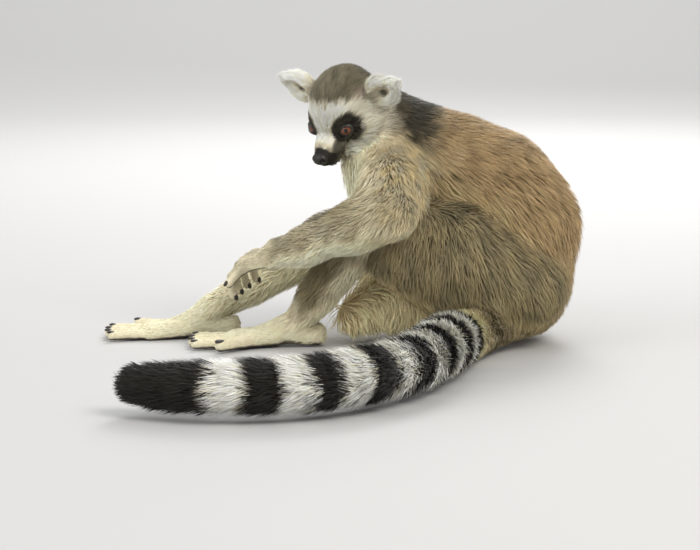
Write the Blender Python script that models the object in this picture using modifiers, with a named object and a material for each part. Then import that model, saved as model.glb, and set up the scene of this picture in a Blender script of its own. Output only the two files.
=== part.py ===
"""A ring-tailed lemur, life size, sitting hunched with its ringed tail laid on the floor beside it.

Frame: metres, +Z up. The animal faces -X and its left side is towards -Y. The origin is on the floor,
under the seat. The solids reach out to the tips of the coat.

The body is a set of tapered limbs and ellipsoids, given in millimetres by their flesh radius and coat
depth. They are joined by a smooth union, meshed as one closed surface, cut flat where it meets the
floor, and then parted at the joints into named pieces with a thin gap between them.
"""

import math

import bmesh
import bpy
import numpy as np
from mathutils import Matrix, Vector
from mathutils.bvhtree import BVHTree

MM = 0.001

# Meshing
VOXEL = 1.6 * MM          # grid of the first, whole surface
TARGET_TRIANGLES = 4120   # of the whole surface before it is parted
DETAIL = {"head": 0.55, "ear": 0.6, "hand": 0.4, "foot": 0.65, "trunk": 0.7}   # smaller keeps more triangles
GAP = 0.35 * MM           # between neighbouring pieces
CELL_MARGIN = 5.0         # mm that a parting cell stands outside its piece

# Smooth-union radii, in mm
TRUNK_BLEND = 13.0
ELBOW_BLEND = 16.0        # the fur bridges the crook of the arm
LIMB_BLEND = 5.0
DIGIT_BLEND = 1.6
TOUCH_BLEND = 2.5

# Driving sizes, in mm
EYE_RADIUS = 7.4
EYE_HALF_SPACING = 15.5
EYE_TURN = math.radians(33)   # the eyes look this far out to each side
LID_RADIUS = 8.3          # of the ball that opens the lids
LID_REACH = 9.0           # of that ball's centre in front of the eye's
NOSE_REACH = 28.5         # from between the eyes to the middle of the nose pad
NOSE_RISE = -9.5
EAR_LENGTH = 18.0         # half length of the ear's leaf
EAR_WIDTH = 13.5          # half width of the ear's leaf
FAR = 20.0                # mm beyond which a rough distance is enough
TAIL_PIECES = 6
TAIL_PIECE_STEPS = 4
TAIL_ROOT_STEPS = 4       # the part under the rump, which stays with it

# Joints, in mm: x forward is negative, y is negative on the animal's left
SIDES = {"left": -1, "right": 1}
EYES_MIDPOINT = (-147, -24, 184)
HEAD_YAW = math.radians(53)     # turned to its left, towards -Y
HEAD_PITCH = math.radians(38)   # nose down

SHOULDER = {"left": (-95, -36, 147), "right": (-102, 37, 152)}
ELBOW = {"left": (-99, -98, 120), "right": (-94, 100, 100)}
WRIST = {"left": (-196, -54, 78), "right": (-178, 74, 76)}
HIP = {"left": (12, -36, 54), "right": (12, 36, 54)}
KNEE = {"left": (-111, -58, 115), "right": (-124, 60, 92)}
ANKLE = {"left": (-176, -29, 20), "right": (-250, 15, 25)}

TAIL_ROUTE = [  # x, y, height of the middle
    (34, 8, 30), (8, -32, 25), (-22, -72, 21), (-46, -126, 23), (-62, -190, 27), (-84, -252, 27),
    (-122, -306, 27), (-176, -338, 26), (-234, -342, 25), (-288, -322, 23),
]
TAIL_BONE = (10.0, 4.0)   # flesh radius at the root and at the tip
TAIL_COAT_AT = (0, 0.18, 0.36, 0.9, 1)   # shares of its length
TAIL_COAT = (9, 11, 21, 20, 17)


# ------------------------------------------------------------------ shapes and their distances


class Limb:
    """A tapered capsule between two balls. A ball is (centre, flesh radius, coat depth)."""

    def __init__(self, start, end):
        self.centres = np.array([start[0], end[0]], float)
        self.flesh = (start[1], end[1])
        self.coat = (start[2], end[2])

    def distance(self, points, coat=1.0):
        """Signed distance to the surface with this share of the coat on it."""
        first, second = self.centres
        along = second - first
        share = np.clip((points - first) @ along / max(along @ along, 1e-9), 0, 1)
        radii = [f + coat * c for f, c in zip(self.flesh, self.coat)]
        away = np.linalg.norm(points - first - share[:, None] * along, axis=1)
        return away - (radii[0] + share * (radii[1] - radii[0]))

    def balls(self, grow):
        """The balls that bound the shape, grown: each a centre and a matrix for a unit ball."""
        for centre, flesh, coat in zip(self.centres, self.flesh, self.coat):
            yield centre, np.eye(3) * (flesh + coat + grow)

    def reach(self):
        """A ball round the whole shape."""
        half = np.linalg.norm(self.centres[1] - self.centres[0]) / 2
        return self.centres.mean(axis=0), half + max(f + c for f, c in zip(self.flesh, self.coat))


class Egg:
    """An ellipsoid with its own axes, the columns of a 3x3 matrix."""

    def __init__(self, centre, axes, radii, coat):
        self.centre = np.array(centre, float)
        self.axes = np.array(axes, float)
        self.radii = np.array(radii, float)
        self.coat = coat

    def distance(self, points, coat=1.0):
        local = (points - self.centre) @ self.axes
        radii = self.radii + coat * self.coat
        scaled = np.linalg.norm(local / radii, axis=1)
        slope = np.linalg.norm(local / radii**2, axis=1)
        return scaled * (scaled - 1) / np.maximum(slope, 1e-9)

    def balls(self, grow):
        yield self.centre, self.axes * (self.radii + self.coat + grow)

    def reach(self):
        return self.centre, max(self.radii) + abs(self.coat)


class Leaf(Egg):
    """An ear: an ellipsoid leaf with a cup taken out of its open side, along its third axis."""

    CUP_SHARE = (0.80, 0.74)
    CUP_DEPTH = 8.5
    CUP_OFFSET = 7.0
    TAPER = 0.42          # how much narrower the leaf is at its tip

    def distance(self, points, coat=1.0):
        local = (points - self.centre) @ self.axes
        local[:, 1] /= 1 - self.TAPER * np.clip(local[:, 0] / self.radii[0], 0, 1)
        points = self.centre + local @ self.axes.T
        outer = super().distance(points, coat)
        cup = Egg(
            self.centre + self.axes[:, 2] * self.CUP_OFFSET + self.axes[:, 0] * 1.5,
            self.axes,
            [self.radii[0] * self.CUP_SHARE[0], self.radii[1] * self.CUP_SHARE[1], self.CUP_DEPTH],
            -0.7 * self.coat,
        )
        return np.maximum(outer, -cup.distance(points, coat))


def chain(*balls):
    """Limbs through a row of balls, each (x, y, z, flesh, coat)."""
    made = [((x, y, z), flesh, coat) for x, y, z, flesh, coat in balls]
    return [Limb(a, b) for a, b in zip(made, made[1:])]


def near_distance(shape, points, coat):
    """The shape's distance near it, and a rough one far away."""
    centre, radius = shape.reach()
    rough = np.linalg.norm(points - centre, axis=1) - radius
    near = rough < FAR
    rough[near] = shape.distance(points[near], coat)
    return rough


def group_distance(shapes, points, coat, radius):
    """Smooth union of some shapes; far from all of them, the distance to the box round them."""
    reaches = [shape.reach() for shape in shapes]
    low = np.min([centre - size for centre, size in reaches], axis=0)
    high = np.max([centre + size for centre, size in reaches], axis=0)
    outside = np.maximum(np.maximum(low - points, points - high), 0)
    joined = np.linalg.norm(outside, axis=1)
    near = joined < FAR
    joined[near] = smooth_union([near_distance(s, points[near], coat) for s in shapes], radius)
    return joined


def smooth_union(distances, radius):
    """One distance from several, with a fillet of that radius where they meet."""
    joined = distances[0]
    for other in distances[1:]:
        near = np.maximum(radius - np.abs(joined - other), 0) / radius
        joined = np.minimum(joined, other) - near * near * radius / 4
    return joined


def unit(vector):
    vector = np.array(vector, float)
    return vector / np.linalg.norm(vector)


def between(a, b, share):
    return tuple(np.array(a, float) * (1 - share) + np.array(b, float) * share)


# ------------------------------------------------------------------ head


def head_axes():
    """Forward, left and up of the head, as the columns of a matrix."""
    forward = np.array([
        -math.cos(HEAD_PITCH) * math.cos(HEAD_YAW),
        -math.cos(HEAD_PITCH) * math.sin(HEAD_YAW),
        -math.sin(HEAD_PITCH),
    ])
    left = np.array([math.sin(HEAD_YAW), -math.cos(HEAD_YAW), 0.0])
    return np.stack([forward, left, np.cross(forward, left)], axis=1)


HEAD_AXES = head_axes()


def on_head(forward, left, up):
    """A point given from between the eyes, along the head's own axes."""
    return tuple(np.array(EYES_MIDPOINT, float) + HEAD_AXES @ np.array([forward, left, up], float))


def head_egg(centre, radii, coat):
    return Egg(on_head(*centre), HEAD_AXES, radii, coat)


def head_shapes():
    shapes = [
        head_egg((-25, 0, 9), (29, 22.5, 23.5), 6),  # braincase
        head_egg((-5, 0, 3), (13, 18.5, 13), 3.5),   # brow and eye sockets
        *chain(
            (*on_head(-2, 0, -6), 12, 2.5),          # bridge
            (*on_head(12, 0, -9.5), 10, 1.5),
            (*on_head(22, 0, -11.5), 8.4, 0.9),      # muzzle tip
        ),
        *chain(
            (*on_head(-24, 0, -19), 12, 6),          # throat
            (*on_head(-2, 0, -20), 8.6, 3),
            (*on_head(16, 0, -20), 5.8, 1.2),        # chin
        ),
    ]
    for side in (-1, 1):
        shapes.append(head_egg((-22, side * 19, -8), (17, 10, 15), 7))   # cheek
        shapes.append(head_egg((-29, side * 22, 9), (9, 10, 10), 5))    # root of the ear
    return shapes


def eye_place(side):
    """The eye's centre and the way it looks, for side 1 (left) or -1."""
    gaze = HEAD_AXES @ np.array([math.cos(EYE_TURN), side * math.sin(EYE_TURN), 0.05])
    return np.array(on_head(0, EYE_HALF_SPACING * side, 0)), unit(gaze)


def open_lids(distance, points):
    """Hollows the head in front of each eye."""
    for side in (-1, 1):
        centre, gaze = eye_place(side)
        ball = np.linalg.norm(points - centre - gaze * LID_REACH, axis=1) - LID_RADIUS
        distance = -smooth_union([-distance, ball], DIGIT_BLEND)
    return distance


def ear_shapes(side):
    """The leaf of one ear: it points out to the side and up, and its cup faces forward."""
    lateral = 1 if side == "left" else -1
    length = unit([-0.12, 0.90 * lateral, 0.42])
    opening = np.array([0.95, 0.22 * lateral, 0.15])
    opening = unit(opening - length * (opening @ length))
    width = np.cross(opening, length)
    axes = HEAD_AXES @ np.stack([length, width, opening], axis=1)
    centre = np.array([-28, 28.5 * lateral, 10.5]) + length * 15
    return [Leaf(on_head(*centre), axes, (EAR_LENGTH, EAR_WIDTH, 6.0), 3.0)]


# ------------------------------------------------------------------ hands and feet


def digit(start, direction, bend_axis, lengths, radii, bends, coat):
    """A finger or toe: bones that each turn about bend_axis by the next bend, in degrees."""
    point, heading = np.array(start, float), unit(direction)
    balls = [(*point, radii[0], coat)]
    for length, radius, bend in zip(lengths, radii[1:], bends):
        heading = np.array(Matrix.Rotation(math.radians(bend), 3, Vector(bend_axis)) @ Vector(heading))
        point = point + heading * length
        balls.append((*point, radius, coat))
    return chain(*balls)


def extremity(root, forward, back_of_hand, plan):
    """Palm bones and digits in a fan. plan gives their sizes, in mm and degrees."""
    forward, up = unit(forward), np.array(back_of_hand, float)
    up = unit(up - forward * (up @ forward))
    side = np.cross(up, forward)
    shapes = []
    count = len(plan["fan"])
    for i, turn in enumerate(plan["fan"]):
        across = (i - (count - 1) / 2) * plan["spacing"]
        knuckle = np.array(root) + forward * plan["palm"] + side * across
        knuckle = knuckle - forward * plan["arch"] * abs(across) / plan["spacing"]
        inner = np.array(root) + side * across * 0.45
        shapes += chain((*inner, plan["palm_radius"] + 0.8, plan["coat"]),
                        (*knuckle, plan["palm_radius"], plan["coat"] * 0.7))
        angle = math.radians(turn)
        heading = forward * math.cos(angle) + side * math.sin(angle)
        bend_axis = np.cross(heading, up)
        shapes += digit(knuckle, heading, -bend_axis, plan["bones"], plan["radii"], plan["curl"], plan["digit_coat"])
    thumb = plan["thumb"]
    angle = math.radians(thumb["turn"])
    heading = forward * math.cos(angle) + side * math.sin(angle)
    start = np.array(root) + forward * thumb["from_root"] + side * thumb["across"]
    shapes += digit(start, heading, np.cross(up, heading), thumb["bones"], thumb["radii"],
                    thumb["curl"], plan["digit_coat"])
    return shapes


def hand_plan(side, curl, thumb_curl):
    return {
        "palm": 24, "spacing": 6.6, "arch": 1.4, "palm_radius": 4.6, "coat": 2.0,
        "fan": (-20, -7, 6, 18), "bones": (14, 11, 8), "radii": (3.7, 3.2, 2.9, 3.1),
        "curl": curl, "digit_coat": 0.5,
        "thumb": {"turn": 48 * side, "from_root": 8, "across": 7 * side, "bones": (12, 9, 7),
                  "radii": (4.4, 3.6, 3.1, 3.2), "curl": thumb_curl},
    }


def foot_plan(side):
    return {
        "palm": 36, "spacing": 8.2, "arch": 2.0, "palm_radius": 6.2, "coat": 2.2,
        "fan": (-12, -4, 4, 12),
        "bones": (14, 11, 8), "radii": (4.5, 3.9, 3.6, 3.8),
        "curl": (-5, -1, 2), "digit_coat": 0.6,
        "thumb": {"turn": 40 * side, "from_root": 14, "across": 9 * side, "bones": (17, 13, 9),
                  "radii": (6.0, 5.2, 4.6, 4.8), "curl": (-3, 0, 0)},
    }


HAND_FORWARD = {"left": (-38, 34, -8), "right": (-36, -22, -10)}
HAND_BACK = {"left": (-0.15, -0.35, 0.93), "right": (-0.1, 0.55, 0.83)}
HAND_CURL = {"left": (30, 34, 22), "right": (16, 22, 18)}
FOOT_FORWARD = {"left": (-1, -0.02, -0.1), "right": (-1, -0.04, -0.1)}


def hand_shapes(side):
    towards_thumb = 1 if side == "left" else -1
    wrist = np.array(WRIST[side], float)
    root = wrist + unit(HAND_FORWARD[side]) * 7
    joint = chain((*wrist, 8, 3), (*root, 7, 2.4))
    return joint + extremity(root, HAND_FORWARD[side], HAND_BACK[side],
                             hand_plan(towards_thumb, HAND_CURL[side], (6, 14, 10)))


def foot_shapes(side):
    towards_big_toe = 1 if side == "left" else -1
    ankle = np.array(ANKLE[side], float)
    forward = unit(FOOT_FORWARD[side])
    heel = ankle + np.array([15, 0, 0]) - np.array([0, 0, ankle[2] - 9.5])
    middle = ankle + forward * 16
    middle[2] = 12
    root = ankle + forward * 20
    root[2] = 8.5
    tarsus = chain((*ankle, 9.5, 3.5), (*middle, 9.5, 3.0), (*(root + forward * 14), 7.5, 2.5))
    sole = chain((*heel, 8.0, 3.0), (*middle, 9.0, 3.0))
    return tarsus + sole + extremity(root, FOOT_FORWARD[side], (0, 0, 1), foot_plan(towards_big_toe))


# ------------------------------------------------------------------ limbs, trunk and tail


def upper_arm_shapes(side):
    shoulder, elbow = SHOULDER[side], ELBOW[side]
    return chain((*shoulder, 21, 10), (*between(shoulder, elbow, 0.5), 17, 10), (*elbow, 13, 8))


def forearm_shapes(side):
    elbow, wrist = ELBOW[side], WRIST[side]
    return chain((*elbow, 13, 8), (*between(elbow, wrist, 0.3), 13, 8),
                 (*between(elbow, wrist, 0.72), 10, 6), (*wrist, 8, 3))


def thigh_shapes(side):
    """The haunch, and under it the calf that is pressed against it."""
    hip, knee = HIP[side], KNEE[side]
    haunch = chain((*hip, 30, 12), (*between(hip, knee, 0.45), 29, 12), (*knee, 17, 9))
    behind, ahead = between(hip, knee, 0.26), between(hip, knee, 0.86)
    calf = chain((*np.subtract(behind, (0, 0, 24)), 25, 12), (*np.subtract(ahead, (0, 0, 26)), 18, 11))
    return haunch + calf


def shin_shapes(side):
    knee, ankle = KNEE[side], ANKLE[side]
    return chain((*knee, 17, 9), (*between(knee, ankle, 0.32), 16, 8),
                 (*between(knee, ankle, 0.75), 11.5, 7.5), (*ankle, 9.5, 4.5))


def trunk_shapes():
    """From the seat up the arched back to the shoulders, then the breast and the belly."""
    back = chain(
        (8, 0, 51, 39, 14),
        (11, 0, 98, 39, 16),
        (-13, 0, 125, 40, 17),
        (-48, 0, 145, 35, 16),
        (-81, 0, 158, 31, 14),
    )
    breast = chain((-81, 0, 158, 31, 14), (-90, 0, 134, 28, 13))
    belly = chain((-12, 0, 60, 40, 13), (-50, -2, 60, 36, 13), (-84, -6, 40, 22, 14), (-130, -16, 27, 11, 14))
    return back + breast + belly


def neck_shapes():
    """The nape, and the throat's fur down to the breast."""
    nape = chain((-84, 0, 164, 27, 14), (-106, 3, 180, 24, 11), (*on_head(-32, 0, -2), 22, 9))
    throat = chain((*on_head(-8, 0, -22), 8, 6), (-112, -14, 140, 14, 12), (-104, -10, 116, 14, 12))
    return nape + throat


def tail_balls():
    """The tail's route as evenly stepped balls: a smooth curve through TAIL_ROUTE."""
    route = np.array(TAIL_ROUTE, float)
    padded = np.vstack([2 * route[0] - route[1], route, 2 * route[-1] - route[-2]])
    fine = []
    for i in range(len(route) - 1):
        p0, p1, p2, p3 = padded[i:i + 4]
        for t in np.linspace(0, 1, 12, endpoint=False):
            fine.append(0.5 * (2 * p1 + (p2 - p0) * t + (2 * p0 - 5 * p1 + 4 * p2 - p3) * t**2
                               + (3 * p1 - p0 - 3 * p2 + p3) * t**3))
    fine = np.array(fine + [route[-1]])
    reach = np.concatenate([[0], np.cumsum(np.linalg.norm(np.diff(fine, axis=0), axis=1))])
    balls = []
    for share in np.linspace(0, 1, TAIL_ROOT_STEPS + TAIL_PIECES * TAIL_PIECE_STEPS + 1):
        at = [np.interp(share * reach[-1], reach, fine[:, k]) for k in range(3)]
        bone = TAIL_BONE[0] + share * (TAIL_BONE[1] - TAIL_BONE[0])
        balls.append((*at, bone, float(np.interp(share, TAIL_COAT_AT, TAIL_COAT))))
    return balls


def tail_chains():
    balls = tail_balls()
    chains = {"tail_root": chain(*balls[:TAIL_ROOT_STEPS + 1])}
    for i in range(TAIL_PIECES):
        first = TAIL_ROOT_STEPS + i * TAIL_PIECE_STEPS
        chains[f"tail_{i + 1}"] = chain(*balls[first:first + TAIL_PIECE_STEPS + 1])
    return chains


def lemur():
    """Every piece's shapes, by name."""
    pieces = {"trunk": trunk_shapes(), "neck": neck_shapes(), "head": head_shapes()}
    for side in SIDES:
        pieces[f"ear_{side}"] = ear_shapes(side)
        pieces[f"upper_arm_{side}"] = upper_arm_shapes(side)
        pieces[f"forearm_{side}"] = forearm_shapes(side)
        pieces[f"hand_{side}"] = hand_shapes(side)
        pieces[f"thigh_{side}"] = thigh_shapes(side)
        pieces[f"shin_{side}"] = shin_shapes(side)
        pieces[f"foot_{side}"] = foot_shapes(side)
    pieces.update(tail_chains())
    return pieces


def body_distance(pieces, points, coat=1.0):
    """Signed distance, in mm, to the whole coated body."""

    def joined(names, radius):
        return group_distance([s for n in names for s in pieces[n]], points, coat, radius)

    tail = [name for name in pieces if name.startswith("tail_")]
    core = joined(["trunk", "neck", "thigh_left", "thigh_right", "upper_arm_left", "upper_arm_right"], TRUNK_BLEND)
    head = open_lids(joined(["head"], LIMB_BLEND), points)
    groups = [smooth_union([core, head, joined(tail, LIMB_BLEND)], LIMB_BLEND)]
    for side in SIDES:
        groups.append(joined([f"ear_{side}"], LIMB_BLEND))
        groups.append(joined([f"upper_arm_{side}", f"forearm_{side}"], ELBOW_BLEND))
        groups.append(joined([f"thigh_{side}", f"shin_{side}"], LIMB_BLEND))
        groups.append(joined([f"hand_{side}"], DIGIT_BLEND))
        groups.append(joined([f"foot_{side}"], DIGIT_BLEND))
    return smooth_union(groups, TOUCH_BLEND)


# ------------------------------------------------------------------ meshing


def ball_points(detail):
    """The corners of a unit icosphere."""
    mesh = bmesh.new()
    bmesh.ops.create_icosphere(mesh, subdivisions=detail, radius=1.0)
    corners = np.array([v.co for v in mesh.verts])
    mesh.free()
    return corners


def hull_of(shapes, detail=2):
    """The convex hull round some shapes, as a bmesh in metres."""
    corners = ball_points(detail)
    points = [corners @ size.T + centre for shape in shapes for centre, size in shape.balls(0)]
    return hull_round(np.vstack(points))


def hull_round(points, grow=0.0):
    """The convex hull round some points, its faces then moved out by some millimetres."""
    mesh = bmesh.new()
    for point in points:
        mesh.verts.new(Vector(point) * MM)
    hull = bmesh.ops.convex_hull(mesh, input=mesh.verts)
    unused = {g for key in ("geom_interior", "geom_unused") for g in hull[key]}
    bmesh.ops.delete(mesh, geom=[g for g in unused if isinstance(g, bmesh.types.BMVert)], context="VERTS")
    bmesh.ops.dissolve_limit(mesh, angle_limit=math.radians(0.5), verts=mesh.verts, edges=mesh.edges)
    bmesh.ops.recalc_face_normals(mesh, faces=mesh.faces)
    if grow:
        mesh.normal_update()
        moved = [v.co + v.normal * v.calc_shell_factor() * grow * MM for v in mesh.verts]
        for vert, place in zip(mesh.verts, moved):
            vert.co = place
    return mesh


def new_object(name, mesh, collection):
    data = bpy.data.meshes.new(name)
    mesh.to_mesh(data)
    mesh.free()
    made = bpy.data.objects.new(name, data)
    collection.objects.link(made)
    return made


def bake_modifiers(obj):
    """Replaces the object's mesh by what its modifiers make of it."""
    graph = bpy.context.evaluated_depsgraph_get()
    data = bpy.data.meshes.new_from_object(obj.evaluated_get(graph))
    obj.modifiers.clear()
    old, obj.data = obj.data, data
    bpy.data.meshes.remove(old)


def settle(obj, pieces, rounds):
    """Moves each vertex onto the body's smooth surface, along the distance's slope."""
    count = len(obj.data.vertices)
    points = np.empty(count * 3)
    obj.data.vertices.foreach_get("co", points)
    points = points.reshape(-1, 3) / MM
    step = 0.02
    for _ in range(rounds):
        here = body_distance(pieces, points)
        slope = np.stack([
            body_distance(pieces, points + step * np.eye(3)[axis]) - here for axis in range(3)
        ], axis=1) / step
        size = np.maximum((slope * slope).sum(1), 0.25)
        move = slope * (here / size)[:, None]
        reach = np.linalg.norm(move, axis=1)
        points -= move * np.minimum(1, 2.5 / np.maximum(reach, 1e-9))[:, None]
    obj.data.vertices.foreach_set("co", (points * MM).ravel())
    obj.data.update()


def remesh(obj):
    """One closed surface round all that the object holds, which nowhere passes through itself."""
    modifier = obj.modifiers.new("remesh", "REMESH")
    modifier.mode = "VOXEL"
    modifier.voxel_size = VOXEL
    bake_modifiers(obj)
    keep_largest(obj)


def whole_surface(pieces, collection):
    """The body in one closed mesh: hulls of every shape, remeshed and settled on the smooth union."""
    mesh = bmesh.new()
    for shapes in pieces.values():
        for shape in shapes:
            hull = hull_of([shape], detail=3)
            part = bpy.data.meshes.new("hull")
            hull.to_mesh(part)
            hull.free()
            mesh.from_mesh(part)
            bpy.data.meshes.remove(part)
    whole = new_object("whole", mesh, collection)
    remesh(whole)
    settle(whole, pieces, 3)
    smooth = whole.modifiers.new("smooth", "SMOOTH")
    smooth.factor = 0.5
    smooth.iterations = 2
    bake_modifiers(whole)
    settle(whole, pieces, 2)
    remesh(whole)
    return whole


def thin_out(whole, pieces):
    """Fewer triangles, kept finest on the head, the hands and the feet."""
    points = np.array([v.co for v in whole.data.vertices]) / MM
    weights = np.ones(len(points))
    for name, shapes in pieces.items():
        least = DETAIL.get(name.split("_")[0])
        if least:
            near = np.clip(group_distance(shapes, points, 1.0, DIGIT_BLEND) / 12, 0, 1)
            weights = np.minimum(weights, least + (1 - least) * near)
    group = whole.vertex_groups.new(name="plain")
    levels = np.round(weights, 2)
    for level in np.unique(levels):
        group.add(np.nonzero(levels == level)[0].tolist(), float(level), "REPLACE")
    decimate = whole.modifiers.new("decimate", "DECIMATE")
    decimate.vertex_group = group.name
    decimate.vertex_group_factor = 1.0
    decimate.use_collapse_triangulate = True
    decimate.ratio = TARGET_TRIANGLES / len(whole.data.polygons)
    bake_modifiers(whole)
    whole.vertex_groups.clear()


def uncross(obj, step=0.15, rounds=6):
    """Where two stretches of the surface pass through each other, draws both back inwards."""
    mesh = bmesh.new()
    mesh.from_mesh(obj.data)
    for _ in range(rounds):
        mesh.normal_update()
        mesh.faces.ensure_lookup_table()
        tree = BVHTree.FromBMesh(mesh)
        crossing = set()
        for a, b in tree.overlap(tree):
            first, second = set(mesh.faces[a].verts), set(mesh.faces[b].verts)
            if a != b and not first & second:
                crossing |= first | second
        if not crossing:
            break
        moved = {vert: vert.co - vert.normal * step * MM for vert in crossing}
        for vert, place in moved.items():
            vert.co = place
    mesh.to_mesh(obj.data)
    mesh.free()


def boolean(obj, cutter, operation):
    """Cuts with the MANIFOLD solver: EXACT loses pieces of a surface as dense and folded as this."""
    modifier = obj.modifiers.new(operation.lower(), "BOOLEAN")
    modifier.operation = operation
    modifier.object = cutter
    modifier.solver = "MANIFOLD"
    bake_modifiers(obj)


def keep_largest(obj):
    """Drops the slivers that parting leaves, so that one closed body remains."""
    mesh = bmesh.new()
    mesh.from_mesh(obj.data)
    bodies, seen = [], set()
    for face in mesh.faces:
        if face in seen:
            continue
        body, queue = [], [face]
        seen.add(face)
        while queue:
            at = queue.pop()
            body.append(at)
            for edge in at.edges:
                if len(edge.link_faces) != 2:
                    continue
                for other in edge.link_faces:
                    if other not in seen:
                        seen.add(other)
                        queue.append(other)
        bodies.append(body)
    bodies.sort(key=lambda body: sum(face.calc_area() for face in body))
    scraps = [face for body in bodies[:-1] for face in body]
    bmesh.ops.delete(mesh, geom=scraps, context="FACES")
    bmesh.ops.triangulate(mesh, faces=mesh.faces)
    mesh.to_mesh(obj.data)
    mesh.free()


# ------------------------------------------------------------------ parting cells


def ring(centre, direction, radius, sides=8):
    """Corners of a polygon round a point, square to a direction."""
    direction = unit(direction)
    across = unit(np.cross(direction, (0.13, 0.29, 0.95) if abs(direction[2]) < 0.9 else (1, 0, 0)))
    upward = np.cross(direction, across)
    turns = np.arange(sides) * 2 * math.pi / sides
    return np.array(centre) + radius * (np.outer(np.cos(turns), across) + np.outer(np.sin(turns), upward))


def limb_cell(shapes, overrun, margin=CELL_MARGIN):
    """A faceted sleeve round a chain: flat across its start, and reaching past its end."""
    points = []
    room = margin / math.cos(math.pi / 8)
    for i, limb in enumerate(shapes):
        along = unit(limb.centres[1] - limb.centres[0])
        first, last = (limb.flesh[k] + limb.coat[k] for k in (0, 1))
        points.append(ring(limb.centres[0], along, first * 1.08 + room))
        points.append(ring(limb.centres[1], along, last * 1.08 + room))
        if i == len(shapes) - 1:
            points.append(ring(limb.centres[1] + along * overrun, along, last * 1.08 + room))
    return np.vstack(points)


def tip_cell(shapes, joint, direction, radius, skip):
    """Round a hand or foot: a flat ring at the joint, and a hull round all but its first shapes."""
    points = [ring(joint, direction, radius)]
    corners = ball_points(1)
    for shape in shapes[skip:]:
        points += [centre + corners @ size.T * 1.3 for centre, size in shape.balls(2.0)]
    return np.vstack(points)


def block_cell(centre, axes, low, high):
    """A block given along its own axes, the columns of a matrix."""
    corners = [(x, y, z) for x in (low[0], high[0]) for y in (low[1], high[1]) for z in (low[2], high[2])]
    return np.array(centre) + np.array(corners) @ np.array(axes, float).T


def cells(pieces):
    """The convex cell of every piece, in the order they are parted: ends of limbs first."""
    made = {}
    for side in SIDES:
        leaf = pieces[f"ear_{side}"][0]
        made[f"ear_{side}"] = block_cell(leaf.centre, leaf.axes, (-6, -19.5, -9.5), (27, 19.5, 10.5))
    for side in SIDES:
        shin = np.subtract(ANKLE[side], KNEE[side])
        forearm = np.subtract(WRIST[side], ELBOW[side])
        made[f"hand_{side}"] = tip_cell(pieces[f"hand_{side}"], WRIST[side], forearm, 17, 1)
        made[f"foot_{side}"] = tip_cell(pieces[f"foot_{side}"], ANKLE[side], shin, 24, 1)
        made[f"forearm_{side}"] = limb_cell(pieces[f"forearm_{side}"], 6)
        made[f"shin_{side}"] = limb_cell(pieces[f"shin_{side}"], 8)
    for i in reversed(range(TAIL_PIECES)):
        last = i == TAIL_PIECES - 1
        made[f"tail_{i + 1}"] = limb_cell(pieces[f"tail_{i + 1}"], 45 if last else 8, 3 if i else 1)
    for side in SIDES:
        made[f"upper_arm_{side}"] = limb_cell(pieces[f"upper_arm_{side}"], 28)
        made[f"thigh_{side}"] = limb_cell(pieces[f"thigh_{side}"], 34)
    made["head"] = facing_block((-104, -10, 186), (-0.8, -0.3, 0.35), 120, 62, 64)
    made["neck"] = facing_block((-86, 0, 168), (-0.8, 0, 0.6), 110, 44, 60)
    made["chest"] = facing_block((-52, 0, 116), (-0.6, 0, 0.8), 200, 200, 200)
    made["back"] = facing_block((0, 0, 84), (-0.25, 0, 1), 200, 200, 200)
    made["belly"] = facing_block((-44, 0, 60), (-1, 0, 0.1), 200, 200, 200)
    return made


def facing_block(point, normal, length, below, above):
    """A block that begins at a plane and runs on along its normal, as wide as it reaches above."""
    normal = unit(normal)
    upward = unit(np.cross((0, 1, 0), normal))
    axes = np.stack([normal, upward, np.cross(normal, upward)], axis=1)
    return block_cell(point, axes, (0, -below, -above), (length, above, above))


def carve(rest, name, corners, parts, cutters):
    """Takes the piece inside a cell off the rest of the body, with a gap all round the cut."""
    inner = new_object(f"cell_{name}", hull_round(corners), cutters)
    outer = new_object(f"gap_{name}", hull_round(corners, GAP / MM), cutters)
    piece = bpy.data.objects.new(name, rest.data.copy())
    parts.objects.link(piece)
    boolean(piece, inner, "INTERSECT")
    boolean(rest, outer, "DIFFERENCE")
    keep_largest(piece)
    for used in (inner, outer):
        bpy.data.objects.remove(used)
    return piece


# ------------------------------------------------------------------ materials


def principled(name, colour, roughness):
    material = bpy.data.materials.new(name)
    material.use_nodes = True
    shader = material.node_tree.nodes["Principled BSDF"]
    shader.inputs["Base Color"].default_value = (*colour, 1)
    shader.inputs["Roughness"].default_value = roughness
    shader.inputs["Metallic"].default_value = 0
    material.diffuse_color = (*colour, 1)
    return material


FINISHES = {   # linear colours and roughness
    "coat_brown": ((0.33, 0.22, 0.11), 0.9),
    "coat_grey": ((0.26, 0.22, 0.13), 0.9),
    "coat_pale": ((0.62, 0.55, 0.35), 0.9),
    "coat_dark": ((0.05, 0.045, 0.03), 0.9),
    "coat_ringed": ((0.35, 0.32, 0.24), 0.9),
    "bare_black": ((0.02, 0.018, 0.015), 0.45),
    "eye": ((0.32, 0.08, 0.015), 0.1),
}


def finish_of(name):
    start = name.split("_")[0]
    if start in ("eye", "nose"):
        return {"eye": "eye", "nose": "bare_black"}[start]
    if start in ("hand", "foot", "ear", "head"):
        return "coat_pale"
    if start == "tail":
        return "coat_ringed"
    if start == "neck":
        return "coat_dark"
    if start == "belly":
        return "coat_pale"
    return "coat_brown" if start in ("chest", "back") else "coat_grey"


# ------------------------------------------------------------------ the object


def clear_scene():
    for obj in list(bpy.data.objects):
        bpy.data.objects.remove(obj, do_unlink=True)


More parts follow.
